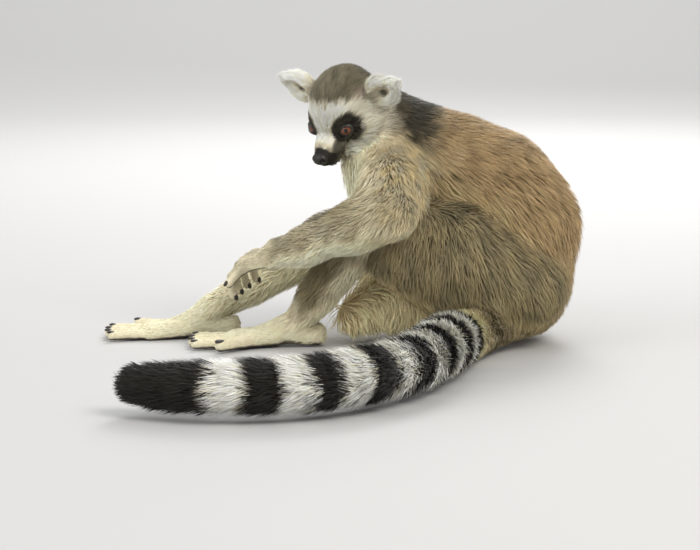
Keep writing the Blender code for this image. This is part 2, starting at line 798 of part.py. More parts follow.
def add_eyes_and_nose(parts, cutters, head):
    """Eyeballs in their sockets, and the bare nose pad on the muzzle's tip."""
    for side, lateral in (("left", 1), ("right", -1)):
        centre = on_head(0, EYE_HALF_SPACING * lateral, 0)
        for name, radius, where in ((f"eye_{side}", EYE_RADIUS, parts),
                                    ("socket", EYE_RADIUS + GAP / MM, cutters)):
            mesh = bmesh.new()
            place = Matrix.Translation(Vector(centre) * MM)
            bmesh.ops.create_uvsphere(mesh, u_segments=12, v_segments=7, radius=radius * MM, matrix=place)
            made = new_object(name, mesh, where)
            if name == "socket":
                boolean(head, made, "DIFFERENCE")
                bpy.data.objects.remove(made)
    corners = ball_points(2) * (5.0, 6.4, 5.2) @ HEAD_AXES.T + on_head(NOSE_REACH, 0, NOSE_RISE)
    new_object("nose", hull_round(corners), parts)
    room = new_object("nose_room", hull_round(corners, GAP / MM), cutters)
    boolean(head, room, "DIFFERENCE")
    bpy.data.objects.remove(room)


def main():
    clear_scene()
    parts = bpy.data.collections.new("ring_tailed_lemur")
    cutters = bpy.data.collections.new("cutters")
    for collection in (parts, cutters):
        bpy.context.scene.collection.children.link(collection)
    cutters.hide_render = True

    pieces = lemur()
    rest = whole_surface(pieces, parts)
    thin_out(rest, pieces)
    uncross(rest)
    floor = new_object("floor", hull_round(facing_block((0, 0, 0), (0, 0, -1), 400, 900, 900)), cutters)
    boolean(rest, floor, "DIFFERENCE")
    bpy.data.objects.remove(floor)
    keep_largest(rest)
    made = {}
    for name, corners in cells(pieces).items():
        made[name] = carve(rest, name, corners, parts, cutters)
    keep_largest(rest)
    rest.name = "rump"
    add_eyes_and_nose(parts, cutters, made["head"])
    keep_largest(made["head"])

    materials = {name: principled(name, *look) for name, look in FINISHES.items()}
    for obj in parts.objects:
        obj.data.materials.clear()
        obj.data.materials.append(materials[finish_of(obj.name)])
        obj.data.shade_smooth()
        obj.data.set_sharp_from_angle(angle=math.radians(40))


main()
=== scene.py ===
"""Looks of the ring-tailed lemur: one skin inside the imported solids, the coat over it in tufts,
eyes, lids, nose and nails, then the floor, the lights and the camera.

Positions are in metres in the row frame; the skeleton below is in millimetres and is the same that the
solids were made from, with the flesh radius and the coat's depth given apart.
"""

import math

import bmesh
import bpy
import numpy as np
from mathutils import Matrix, Vector


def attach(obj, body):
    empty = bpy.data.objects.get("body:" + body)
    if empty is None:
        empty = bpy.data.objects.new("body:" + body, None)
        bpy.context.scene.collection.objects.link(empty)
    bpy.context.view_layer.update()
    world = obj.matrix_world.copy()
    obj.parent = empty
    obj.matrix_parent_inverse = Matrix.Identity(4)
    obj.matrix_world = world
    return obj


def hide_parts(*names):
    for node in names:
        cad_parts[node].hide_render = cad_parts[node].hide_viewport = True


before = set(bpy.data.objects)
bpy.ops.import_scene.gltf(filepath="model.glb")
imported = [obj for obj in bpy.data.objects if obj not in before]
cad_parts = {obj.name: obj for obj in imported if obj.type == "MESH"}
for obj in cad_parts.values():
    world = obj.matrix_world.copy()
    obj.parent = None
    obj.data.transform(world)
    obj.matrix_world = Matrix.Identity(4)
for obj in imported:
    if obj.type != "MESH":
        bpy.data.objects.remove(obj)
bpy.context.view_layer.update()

MM = 0.001

# Smooth-union radii, in mm
TRUNK_BLEND = 13.0
ELBOW_BLEND = 16.0        # the fur bridges the crook of the arm
LIMB_BLEND = 5.0
DIGIT_BLEND = 1.6
TOUCH_BLEND = 2.5

# Driving sizes, in mm
EYE_RADIUS = 7.4
EYE_HALF_SPACING = 15.5
EYE_TURN = math.radians(33)   # the eyes look this far out to each side
LID_RADIUS = 8.3          # of the ball that opens the lids
LID_REACH = 9.0           # of that ball's centre in front of the eye's
NOSE_REACH = 28.5         # from between the eyes to the middle of the nose pad
NOSE_RISE = -9.5
EAR_LENGTH = 18.0         # half length of the ear's leaf
EAR_WIDTH = 13.5          # half width of the ear's leaf
FAR = 20.0                # mm beyond which a rough distance is enough
TAIL_PIECES = 6
TAIL_PIECE_STEPS = 4
TAIL_ROOT_STEPS = 4       # the part under the rump, which stays with it

# Joints, in mm: x forward is negative, y is negative on the animal's left
SIDES = {"left": -1, "right": 1}
EYES_MIDPOINT = (-147, -24, 184)
HEAD_YAW = math.radians(53)     # turned to its left, towards -Y
HEAD_PITCH = math.radians(38)   # nose down

SHOULDER = {"left": (-95, -36, 147), "right": (-102, 37, 152)}
ELBOW = {"left": (-99, -98, 120), "right": (-94, 100, 100)}
WRIST = {"left": (-196, -54, 78), "right": (-178, 74, 76)}
HIP = {"left": (12, -36, 54), "right": (12, 36, 54)}
KNEE = {"left": (-111, -58, 115), "right": (-124, 60, 92)}
ANKLE = {"left": (-176, -29, 20), "right": (-250, 15, 25)}

TAIL_ROUTE = [  # x, y, height of the middle
    (34, 8, 30), (8, -32, 25), (-22, -72, 21), (-46, -126, 23), (-62, -190, 27), (-84, -252, 27),
    (-122, -306, 27), (-176, -338, 26), (-234, -342, 25), (-288, -322, 23),
]
TAIL_BONE = (10.0, 4.0)   # flesh radius at the root and at the tip
TAIL_COAT_AT = (0, 0.18, 0.36, 0.9, 1)   # shares of its length
TAIL_COAT = (9, 11, 21, 20, 17)


# ------------------------------------------------------------------ shapes and their distances


class Limb:
    """A tapered capsule between two balls. A ball is (centre, flesh radius, coat depth)."""

    def __init__(self, start, end):
        self.centres = np.array([start[0], end[0]], float)
        self.flesh = (start[1], end[1])
        self.coat = (start[2], end[2])

    def distance(self, points, coat=1.0):
        """Signed distance to the surface with this share of the coat on it."""
        first, second = self.centres
        along = second - first
        share = np.clip((points - first) @ along / max(along @ along, 1e-9), 0, 1)
        radii = [f + coat * c for f, c in zip(self.flesh, self.coat)]
        away = np.linalg.norm(points - first - share[:, None] * along, axis=1)
        return away - (radii[0] + share * (radii[1] - radii[0]))

    def length(self):
        return np.linalg.norm(self.centres[1] - self.centres[0])

    def reach(self):
        """A ball round the whole shape."""
        widest = max(f + c for f, c in zip(self.flesh, self.coat))
        return self.centres.mean(axis=0), self.length() / 2 + widest


class Egg:
    """An ellipsoid with its own axes, the columns of a 3x3 matrix."""

    def __init__(self, centre, axes, radii, coat):
        self.centre = np.array(centre, float)
        self.axes = np.array(axes, float)
        self.radii = np.array(radii, float)
        self.coat = coat

    def local(self, points):
        """Points along the shape's own axes, from its centre."""
        return (points - self.centre) @ self.axes

    def distance(self, points, coat=1.0):
        local = self.local(points)
        radii = self.radii + coat * self.coat
        scaled = np.linalg.norm(local / radii, axis=1)
        slope = np.linalg.norm(local / radii**2, axis=1)
        return scaled * (scaled - 1) / np.maximum(slope, 1e-9)

    def reach(self):
        return self.centre, max(self.radii) + abs(self.coat)


class Leaf(Egg):
    """An ear: an ellipsoid leaf with a cup taken out of its open side, along its third axis."""

    CUP_SHARE = (0.80, 0.74)
    CUP_DEPTH = 8.5
    CUP_OFFSET = 7.0
    TAPER = 0.42          # how much narrower the leaf is at its tip

    def distance(self, points, coat=1.0):
        local = self.local(points)
        local[:, 1] /= 1 - self.TAPER * np.clip(local[:, 0] / self.radii[0], 0, 1)
        points = self.centre + local @ self.axes.T
        outer = super().distance(points, coat)
        cup = Egg(
            self.centre + self.axes[:, 2] * self.CUP_OFFSET + self.axes[:, 0] * 1.5,
            self.axes,
            [self.radii[0] * self.CUP_SHARE[0], self.radii[1] * self.CUP_SHARE[1], self.CUP_DEPTH],
            -0.7 * self.coat,
        )
        return np.maximum(outer, -cup.distance(points, coat))


def chain(*balls):
    """Limbs through a row of balls, each (x, y, z, flesh, coat)."""
    made = [((x, y, z), flesh, coat) for x, y, z, flesh, coat in balls]
    return [Limb(a, b) for a, b in zip(made, made[1:])]


def near_distance(shape, points, coat):
    """The shape's distance near it, and a rough one far away."""
    centre, radius = shape.reach()
    rough = np.linalg.norm(points - centre, axis=1) - radius
    near = rough < FAR
    rough[near] = shape.distance(points[near], coat)
    return rough


def group_distance(shapes, points, coat, radius):
    """Smooth union of some shapes; far from all of them, the distance to the box round them."""
    reaches = [shape.reach() for shape in shapes]
    low = np.min([centre - size for centre, size in reaches], axis=0)
    high = np.max([centre + size for centre, size in reaches], axis=0)
    outside = np.maximum(np.maximum(low - points, points - high), 0)
    joined = np.linalg.norm(outside, axis=1)
    near = joined < FAR
    joined[near] = smooth_union([near_distance(s, points[near], coat) for s in shapes], radius)
    return joined


def smooth_union(distances, radius):
    """One distance from several, with a fillet of that radius where they meet."""
    joined = distances[0]
    for other in distances[1:]:
        near = np.maximum(radius - np.abs(joined - other), 0) / radius
        joined = np.minimum(joined, other) - near * near * radius / 4
    return joined


def unit(vector):
    vector = np.array(vector, float)
    return vector / np.linalg.norm(vector)


def between(a, b, share):
    return tuple(np.array(a, float) * (1 - share) + np.array(b, float) * share)


# ------------------------------------------------------------------ head


def head_axes():
    """Forward, left and up of the head, as the columns of a matrix."""
    forward = np.array([
        -math.cos(HEAD_PITCH) * math.cos(HEAD_YAW),
        -math.cos(HEAD_PITCH) * math.sin(HEAD_YAW),
        -math.sin(HEAD_PITCH),
    ])
    left = np.array([math.sin(HEAD_YAW), -math.cos(HEAD_YAW), 0.0])
    return np.stack([forward, left, np.cross(forward, left)], axis=1)


HEAD_AXES = head_axes()


def on_head(forward, left, up):
    """A point given from between the eyes, along the head's own axes."""
    return tuple(np.array(EYES_MIDPOINT, float) + HEAD_AXES @ np.array([forward, left, up], float))


def head_egg(centre, radii, coat):
    return Egg(on_head(*centre), HEAD_AXES, radii, coat)


def head_shapes():
    shapes = [
        head_egg((-25, 0, 9), (29, 22.5, 23.5), 6),  # braincase
        head_egg((-5, 0, 3), (13, 18.5, 13), 3.5),   # brow and eye sockets
        *chain(
            (*on_head(-2, 0, -6), 12, 2.5),          # bridge
            (*on_head(12, 0, -9.5), 10, 1.5),
            (*on_head(22, 0, -11.5), 8.4, 0.9),      # muzzle tip
        ),
        *chain(
            (*on_head(-24, 0, -19), 12, 6),          # throat
            (*on_head(-2, 0, -20), 8.6, 3),
            (*on_head(16, 0, -20), 5.8, 1.2),        # chin
        ),
    ]
    for side in (-1, 1):
        shapes.append(head_egg((-22, side * 19, -8), (17, 10, 15), 7))   # cheek
        shapes.append(head_egg((-29, side * 22, 9), (9, 10, 10), 5))    # root of the ear
    return shapes


def eye_place(side):
    """The eye's centre and the way it looks, for side 1 (left) or -1."""
    gaze = HEAD_AXES @ np.array([math.cos(EYE_TURN), side * math.sin(EYE_TURN), 0.05])
    return np.array(on_head(0, EYE_HALF_SPACING * side, 0)), unit(gaze)


def open_lids(distance, points):
    """Hollows the head in front of each eye."""
    for side in (-1, 1):
        centre, gaze = eye_place(side)
        ball = np.linalg.norm(points - centre - gaze * LID_REACH, axis=1) - LID_RADIUS
        distance = -smooth_union([-distance, ball], DIGIT_BLEND)
    return distance


def ear_shapes(side):
    """The leaf of one ear: it points out to the side and up, and its cup faces forward."""
    lateral = 1 if side == "left" else -1
    length = unit([-0.12, 0.90 * lateral, 0.42])
    opening = np.array([0.95, 0.22 * lateral, 0.15])
    opening = unit(opening - length * (opening @ length))
    width = np.cross(opening, length)
    axes = HEAD_AXES @ np.stack([length, width, opening], axis=1)
    centre = np.array([-28, 28.5 * lateral, 10.5]) + length * 15
    return [Leaf(on_head(*centre), axes, (EAR_LENGTH, EAR_WIDTH, 6.0), 3.0)]


# ------------------------------------------------------------------ hands and feet


def digit(start, direction, bend_axis, lengths, radii, bends, coat):
    """A finger or toe: bones that each turn about bend_axis by the next bend, in degrees."""
    point, heading = np.array(start, float), unit(direction)
    balls = [(*point, radii[0], coat)]
    for length, radius, bend in zip(lengths, radii[1:], bends):
        heading = np.array(Matrix.Rotation(math.radians(bend), 3, Vector(bend_axis)) @ Vector(heading))
        point = point + heading * length
        balls.append((*point, radius, coat))
    return chain(*balls)


def extremity(root, forward, back_of_hand, plan):
    """Palm bones and digits in a fan. plan gives their sizes, in mm and degrees."""
    forward, up = unit(forward), np.array(back_of_hand, float)
    up = unit(up - forward * (up @ forward))
    side = np.cross(up, forward)
    shapes = []
    count = len(plan["fan"])
    for i, turn in enumerate(plan["fan"]):
        across = (i - (count - 1) / 2) * plan["spacing"]
        knuckle = np.array(root) + forward * plan["palm"] + side * across
        knuckle = knuckle - forward * plan["arch"] * abs(across) / plan["spacing"]
        inner = np.array(root) + side * across * 0.45
        shapes += chain((*inner, plan["palm_radius"] + 0.8, plan["coat"]),
                        (*knuckle, plan["palm_radius"], plan["coat"] * 0.7))
        angle = math.radians(turn)
        heading = forward * math.cos(angle) + side * math.sin(angle)
        bend_axis = np.cross(heading, up)
        shapes += digit(knuckle, heading, -bend_axis, plan["bones"], plan["radii"],
                        plan["curl"], plan["digit_coat"])
    thumb = plan["thumb"]
    angle = math.radians(thumb["turn"])
    heading = forward * math.cos(angle) + side * math.sin(angle)
    start = np.array(root) + forward * thumb["from_root"] + side * thumb["across"]
    shapes += digit(start, heading, np.cross(up, heading), thumb["bones"], thumb["radii"],
                    thumb["curl"], plan["digit_coat"])
    return shapes


def hand_plan(side, curl, thumb_curl):
    return {
        "palm": 24, "spacing": 6.6, "arch": 1.4, "palm_radius": 4.6, "coat": 2.0,
        "fan": (-20, -7, 6, 18), "bones": (14, 11, 8), "radii": (3.7, 3.2, 2.9, 3.1),
        "curl": curl, "digit_coat": 0.5,
        "thumb": {"turn": 48 * side, "from_root": 8, "across": 7 * side, "bones": (12, 9, 7),
                  "radii": (4.4, 3.6, 3.1, 3.2), "curl": thumb_curl},
    }


def foot_plan(side):
    return {
        "palm": 36, "spacing": 8.2, "arch": 2.0, "palm_radius": 6.2, "coat": 2.2,
        "fan": (-12, -4, 4, 12),
        "bones": (14, 11, 8), "radii": (4.5, 3.9, 3.6, 3.8),
        "curl": (-5, -1, 2), "digit_coat": 0.6,
        "thumb": {"turn": 40 * side, "from_root": 14, "across": 9 * side, "bones": (17, 13, 9),
                  "radii": (6.0, 5.2, 4.6, 4.8), "curl": (-3, 0, 0)},
    }


HAND_FORWARD = {"left": (-38, 34, -8), "right": (-36, -22, -10)}
HAND_BACK = {"left": (-0.15, -0.35, 0.93), "right": (-0.1, 0.55, 0.83)}
HAND_CURL = {"left": (30, 34, 22), "right": (16, 22, 18)}
FOOT_FORWARD = {"left": (-1, -0.02, -0.1), "right": (-1, -0.04, -0.1)}


def hand_shapes(side):
    towards_thumb = 1 if side == "left" else -1
    wrist = np.array(WRIST[side], float)
    root = wrist + unit(HAND_FORWARD[side]) * 7
    joint = chain((*wrist, 8, 3), (*root, 7, 2.4))
    return joint + extremity(root, HAND_FORWARD[side], HAND_BACK[side],
                             hand_plan(towards_thumb, HAND_CURL[side], (6, 14, 10)))


def foot_shapes(side):
    towards_big_toe = 1 if side == "left" else -1
    ankle = np.array(ANKLE[side], float)
    forward = unit(FOOT_FORWARD[side])
    heel = ankle + np.array([15, 0, 0]) - np.array([0, 0, ankle[2] - 9.5])
    middle = ankle + forward * 16
    middle[2] = 12
    root = ankle + forward * 20
    root[2] = 8.5
    tarsus = chain((*ankle, 9.5, 3.5), (*middle, 9.5, 3.0), (*(root + forward * 14), 7.5, 2.5))
    sole = chain((*heel, 8.0, 3.0), (*middle, 9.0, 3.0))
    return tarsus + sole + extremity(root, FOOT_FORWARD[side], (0, 0, 1), foot_plan(towards_big_toe))


# ------------------------------------------------------------------ limbs, trunk and tail


def upper_arm_shapes(side):
    shoulder, elbow = SHOULDER[side], ELBOW[side]
    return chain((*shoulder, 21, 10), (*between(shoulder, elbow, 0.5), 17, 10), (*elbow, 13, 8))


def forearm_shapes(side):
    elbow, wrist = ELBOW[side], WRIST[side]
    return chain((*elbow, 13, 8), (*between(elbow, wrist, 0.3), 13, 8),
                 (*between(elbow, wrist, 0.72), 10, 6), (*wrist, 8, 3))


def thigh_shapes(side):
    """The haunch, and under it the calf that is pressed against it."""
    hip, knee = HIP[side], KNEE[side]
    haunch = chain((*hip, 30, 12), (*between(hip, knee, 0.45), 29, 12), (*knee, 17, 9))
    behind, ahead = between(hip, knee, 0.26), between(hip, knee, 0.86)
    calf = chain((*np.subtract(behind, (0, 0, 24)), 25, 12), (*np.subtract(ahead, (0, 0, 26)), 18, 11))
    return haunch + calf


def shin_shapes(side):
    knee, ankle = KNEE[side], ANKLE[side]
    return chain((*knee, 17, 9), (*between(knee, ankle, 0.32), 16, 8),
                 (*between(knee, ankle, 0.75), 11.5, 7.5), (*ankle, 9.5, 4.5))


def trunk_shapes():
    """From the seat up the arched back to the shoulders, then the breast and the belly."""
    back = chain(
        (8, 0, 51, 39, 14),
        (11, 0, 98, 39, 16),
        (-13, 0, 125, 40, 17),
        (-48, 0, 145, 35, 16),
        (-81, 0, 158, 31, 14),
    )
    breast = chain((-81, 0, 158, 31, 14), (-90, 0, 134, 28, 13))
    belly = chain(
        (-12, 0, 60, 40, 13),
        (-50, -2, 60, 36, 13),
        (-84, -6, 40, 22, 14),
        (-130, -16, 27, 11, 14),
    )
    return back + breast + belly


def neck_shapes():
    """The nape, and the throat's fur down to the breast."""
    nape = chain((-84, 0, 164, 27, 14), (-106, 3, 180, 24, 11), (*on_head(-32, 0, -2), 22, 9))
    throat = chain((*on_head(-8, 0, -22), 8, 6), (-112, -14, 140, 14, 12), (-104, -10, 116, 14, 12))
    return nape + throat


def tail_balls():
    """The tail's route as evenly stepped balls: a smooth curve through TAIL_ROUTE."""
    route = np.array(TAIL_ROUTE, float)
    padded = np.vstack([2 * route[0] - route[1], route, 2 * route[-1] - route[-2]])
    fine = []
    for i in range(len(route) - 1):
        p0, p1, p2, p3 = padded[i:i + 4]
        for t in np.linspace(0, 1, 12, endpoint=False):
            fine.append(0.5 * (2 * p1 + (p2 - p0) * t + (2 * p0 - 5 * p1 + 4 * p2 - p3) * t**2
                               + (3 * p1 - p0 - 3 * p2 + p3) * t**3))
    fine = np.array(fine + [route[-1]])
    reach = np.concatenate([[0], np.cumsum(np.linalg.norm(np.diff(fine, axis=0), axis=1))])
    balls = []
    for share in np.linspace(0, 1, TAIL_ROOT_STEPS + TAIL_PIECES * TAIL_PIECE_STEPS + 1):
        at = [np.interp(share * reach[-1], reach, fine[:, k]) for k in range(3)]
        bone = TAIL_BONE[0] + share * (TAIL_BONE[1] - TAIL_BONE[0])
        balls.append((*at, bone, float(np.interp(share, TAIL_COAT_AT, TAIL_COAT))))
    return balls


def tail_chains():
    balls = tail_balls()
    chains = {"tail_root": chain(*balls[:TAIL_ROOT_STEPS + 1])}
    for i in range(TAIL_PIECES):
        first = TAIL_ROOT_STEPS + i * TAIL_PIECE_STEPS
        chains[f"tail_{i + 1}"] = chain(*balls[first:first + TAIL_PIECE_STEPS + 1])
    return chains


def lemur():
    """Every piece's shapes, by name."""
    pieces = {"trunk": trunk_shapes(), "neck": neck_shapes(), "head": head_shapes()}
    for side in SIDES:
        pieces[f"ear_{side}"] = ear_shapes(side)
        pieces[f"upper_arm_{side}"] = upper_arm_shapes(side)
        pieces[f"forearm_{side}"] = forearm_shapes(side)
        pieces[f"hand_{side}"] = hand_shapes(side)
        pieces[f"thigh_{side}"] = thigh_shapes(side)
        pieces[f"shin_{side}"] = shin_shapes(side)
        pieces[f"foot_{side}"] = foot_shapes(side)
    pieces.update(tail_chains())
    return pieces


def body_distance(pieces, points, coat=1.0):
    """Signed distance, in mm, to the whole coated body."""

    def joined(names, radius):
        return group_distance([s for n in names for s in pieces[n]], points, coat, radius)

    tail = [name for name in pieces if name.startswith("tail_")]
    core = joined(["trunk", "neck", "thigh_left", "thigh_right", "upper_arm_left", "upper_arm_right"],
                  TRUNK_BLEND)
    head = open_lids(joined(["head"], LIMB_BLEND), points)
    groups = [smooth_union([core, head, joined(tail, LIMB_BLEND)], LIMB_BLEND)]
    for side in SIDES:
        groups.append(joined([f"ear_{side}"], LIMB_BLEND))
        groups.append(joined([f"upper_arm_{side}", f"forearm_{side}"], ELBOW_BLEND))
        groups.append(joined([f"thigh_{side}", f"shin_{side}"], LIMB_BLEND))
        groups.append(joined([f"hand_{side}"], DIGIT_BLEND))
        groups.append(joined([f"foot_{side}"], DIGIT_BLEND))
    return smooth_union(groups, TOUCH_BLEND)


# ------------------------------------------------------------------ the skin's surface

SKIN_VOXEL = 2.0 * MM
NOSE_VOXEL = 0.28 * MM
BALL_DETAIL = 3           # subdivisions of the balls that the skin starts from
FACE_MIDDLE = (6, 0, -4)  # on the head
FACE_ROOM = 46.0          # mm round it where the skin is twice as fine
FACE_CORE = 24.0          # once more within this
EYE_ROOM = 15.0           # and round each eye, twice again
DIGIT_ROOM = 34.0         # and round the digits of each hand and foot
PALM_SHAPES = 6           # first shapes of a hand or foot, left out of their middle
SKIN_SHARE = {"hand": 0.35, "foot": 0.35}  # share of the coat's depth that is skin there
SKIN_FLOOR = 0.3          # mm, the skin's lowest point
LID_DEPTH = 1.3           # of the lids over the eyeball
LID_MARGIN = 0.3          # mm that the skin's opening is wider than the lids' rims
SOCKET_DEPTH = 1.3        # mm under the eyeball's surface that the opening is cut
EYE_RANGE = 30.0          # mm from an eye's centre beyond which its lids change nothing
OPENING = (4.9, 3.7)      # half width and half height of the lids' opening
LOOK_UP = 0.36            # the eyes look up from the lowered head
ORBIT_BLEND = 4.0         # between the lids and the face
RIM_BLEND = 0.6           # at the edge of the opening
MOUTH_DEPTH = 1.3
NOSE_PAD = (4.8, 7.1, 5.3)    # half sizes of the nose pad
NOSE_BACK = (4.6, 6.9, 5.2)   # and of the skin's swell behind it
NOSE_BACK_INSET = 0.9     # mm that the swell is smaller still
NOSE_BLEND = 3.0          # between the swell and the muzzle
PAD_SCALE = 5.0           # mm, turns a share of the pad or the swell into a distance

PIECES = lemur()
HEAD_CENTRE = np.array(EYES_MIDPOINT, float)
NOSE_CENTRE = np.array([NOSE_REACH, 0, NOSE_RISE])


def ball(detail):
    """A unit ball's corners and triangles."""
    mesh = bmesh.new()
    bmesh.ops.create_icosphere(mesh, subdivisions=detail, radius=1.0)
    corners = np.array([v.co for v in mesh.verts])
    faces = [[v.index for v in f.verts] for f in mesh.faces]
    mesh.free()
    return corners, faces


def egg_share(offset, radii):
    """How far from an ellipsoid's middle, as a share of the way to its surface."""
    return np.linalg.norm(offset / radii, axis=1)


def skin_pieces():
    """The skeleton with its flesh grown where the coat is only partly hair: on hands and feet."""
    grown = lemur()
    for name, shapes in grown.items():
        share = SKIN_SHARE.get(name.split("_")[0], 0)
        for shape in shapes:
            if isinstance(shape, Limb):
                shape.flesh = tuple(f + share * c for f, c in zip(shape.flesh, shape.coat))
    return grown


SKIN_PIECES = skin_pieces()


def to_head(points):
    """Points in mm along the head's own axes, from between the eyes: forward, left, up."""
    return (points - HEAD_CENTRE) @ HEAD_AXES


def eye_axes(side):
    """One eye's centre, its gaze in the head, and the ways towards the nose and up."""
    centre, gaze = eye_place(side)
    upward = unit(HEAD_AXES[:, 2] - gaze * (HEAD_AXES[:, 2] @ gaze))
    return centre, gaze, np.cross(upward, gaze) * -side, upward


def look_axes(side):
    """As eye_axes, along the way the eye looks, which its lids follow."""
    centre, gaze, inward, upward = eye_axes(side)
    look = unit(gaze + upward * LOOK_UP)
    return centre, look, inward, unit(upward - look * (upward @ look))


def lid_rim(side, points, margin=0.0):
    """Where points lie in the lids' opening: 1 on its edge, grown by the margin in mm.

    Then how far they are in front of the eye's centre, above it and away from it.
    """
    centre, look, inward, upward = look_axes(side)
    offset = points - centre
    high = offset @ upward
    rim = np.hypot((offset @ inward) / (OPENING[0] + margin), high / (OPENING[1] + margin))
    return rim, offset @ look, high, np.linalg.norm(offset, axis=1)


def skin_distance(points):
    """Signed distance to the bare skin: the flesh, the lids and a swell behind the nose pad."""
    distance = body_distance(SKIN_PIECES, points, 0.0)
    swell = (egg_share(to_head(points) - NOSE_CENTRE, NOSE_BACK) - 1) * PAD_SCALE + NOSE_BACK_INSET
    distance = smooth_union([distance, swell], NOSE_BLEND)
    for side in (1, -1):
        near = np.linalg.norm(points - look_axes(side)[0], axis=1) < EYE_RANGE
        if not near.any():
            continue
        rim, ahead, _, reach = lid_rim(side, points[near], LID_MARGIN)
        lids = smooth_union([distance[near], reach - EYE_RADIUS - LID_DEPTH], ORBIT_BLEND)
        edge = (rim - 1) * OPENING[1]
        cut = np.maximum(np.maximum(edge, EYE_RADIUS - SOCKET_DEPTH - reach), -ahead)
        distance[near] = -smooth_union([-lids, cut], RIM_BLEND)
    return distance


def slope_of(field, points, here, step):
    """The field's slope at each point."""
    return np.stack([field(points + step * np.eye(3)[axis]) - here for axis in range(3)], axis=1) / step


def settle(points, field, rounds, wanted=0.0, step=0.05, flattest=0.25, longest=2.5):
    """Moves each point along the field's slope until it lies the wanted depth inside.

    The slope is measured over a step in mm and taken as no flatter than some square;
    no move is longer than the longest, in mm.
    """
    for _ in range(rounds):
        here = field(points)
        slope = slope_of(field, points, here, step)
        size = np.maximum((slope * slope).sum(1), flattest)
        move = slope * ((here + wanted) / size)[:, None]
        reach = np.linalg.norm(move, axis=1)
        points = points - move * np.minimum(1, longest / np.maximum(reach, 1e-9))[:, None]
    return points


def shape_balls(shape):
    """The flesh of a shape as balls: each a centre and a matrix for a unit ball."""
    if isinstance(shape, Limb):
        return [(centre, np.eye(3) * flesh) for centre, flesh in zip(shape.centres, shape.flesh)]
    return [(shape.centre, shape.axes * shape.radii)]


def add_object(name, data):
    made = bpy.data.objects.new(name, data)
    bpy.context.scene.collection.objects.link(made)
    return made


def add_mesh(name, vertices, faces):
    """A new object from lists of vertices, in metres, and faces."""
    data = bpy.data.meshes.new(name)
    data.from_pydata(np.asarray(vertices).tolist(), [], np.asarray(faces).tolist())
    mesh = bmesh.new()
    mesh.from_mesh(data)
    bmesh.ops.recalc_face_normals(mesh, faces=mesh.faces)
    mesh.to_mesh(data)
    mesh.free()
    data.update()
    return add_object(name, data)


def bake_modifiers(obj):
    graph = bpy.context.evaluated_depsgraph_get()
    data = bpy.data.meshes.new_from_object(obj.evaluated_get(graph))
    obj.modifiers.clear()
    old, obj.data = obj.data, data
    bpy.data.meshes.remove(old)


def positions(obj):
    """The object's vertices, in mm."""
    points = np.empty(len(obj.data.vertices) * 3)
    obj.data.vertices.foreach_get("co", points)
    return points.reshape(-1, 3) / MM


def set_positions(obj, points):
    obj.data.vertices.foreach_set("co", (points * MM).ravel())
    obj.data.update()


def voxel_object(name, shapes, voxel):
    """A new object: one voxel surface round the convex hulls of the shapes' flesh."""
    corners, _ = ball(BALL_DETAIL)
    mesh = bmesh.new()
    for shape in shapes:
        hull = bmesh.new()
        for centre, size in shape_balls(shape):
            for corner in corners @ size.T + centre:
                hull.verts.new(Vector(corner) * MM)
        made = bmesh.ops.convex_hull(hull, input=hull.verts)
        unused = {g for key in ("geom_interior", "geom_unused") for g in made[key]
                  if isinstance(g, bmesh.types.BMVert)}
        bmesh.ops.delete(hull, geom=list(unused), context="VERTS")
        bmesh.ops.recalc_face_normals(hull, faces=hull.faces)
        part = bpy.data.meshes.new("hull")
        hull.to_mesh(part)
        hull.free()
        mesh.from_mesh(part)
        bpy.data.meshes.remove(part)
    data = bpy.data.meshes.new(name)
    mesh.to_mesh(data)
    mesh.free()
    obj = add_object(name, data)
    remesh = obj.modifiers.new("remesh", "REMESH")
    remesh.mode = "VOXEL"
    remesh.voxel_size = voxel
    bake_modifiers(obj)
    return obj


def finer(obj, spots):
    """Splits the faces whose middle is within some mm of a point, for each (point, reach)."""
    mesh = bmesh.new()
    mesh.from_mesh(obj.data)
    for place, reach in spots:
        middle, within = Vector(place) * MM, reach * MM
        near = [f for f in mesh.faces if (f.calc_center_median() - middle).length < within]
        edges = {e for f in near for e in f.edges}
        bmesh.ops.subdivide_edges(mesh, edges=list(edges), cuts=1, use_grid_fill=True)
    bmesh.ops.triangulate(mesh, faces=[f for f in mesh.faces if len(f.verts) > 4])
    mesh.to_mesh(obj.data)
    mesh.free()


def build_skin():
    """The bare skin: a voxel surface, refined at the face and the digits, settled on its field."""
    skin = voxel_object("skin", [s for group in SKIN_PIECES.values() for s in group], SKIN_VOXEL)
    keep_largest(skin)
    face = on_head(*FACE_MIDDLE)
    spots = [(face, FACE_ROOM)]
    spots.append((face, FACE_CORE))
    for side in (1, -1):
        spots.append((on_head(5, side * 19, 0), EYE_ROOM))
        for name in ("hand", "foot"):
            digits = SKIN_PIECES[f"{name}_{'left' if side > 0 else 'right'}"][PALM_SHAPES:]
            middle = np.mean([shape.centres.mean(axis=0) for shape in digits], axis=0)
            spots.append((middle, DIGIT_ROOM))
    finer(skin, spots)
    set_positions(skin, settle(positions(skin), skin_distance, 3))
    smooth = skin.modifiers.new("smooth", "SMOOTH")
    smooth.factor = 0.4
    smooth.iterations = 2
    bake_modifiers(skin)
    points = settle(positions(skin), skin_distance, 2)
    points[:, 2] = np.maximum(points[:, 2], SKIN_FLOOR)
    set_positions(skin, points)
    return skin


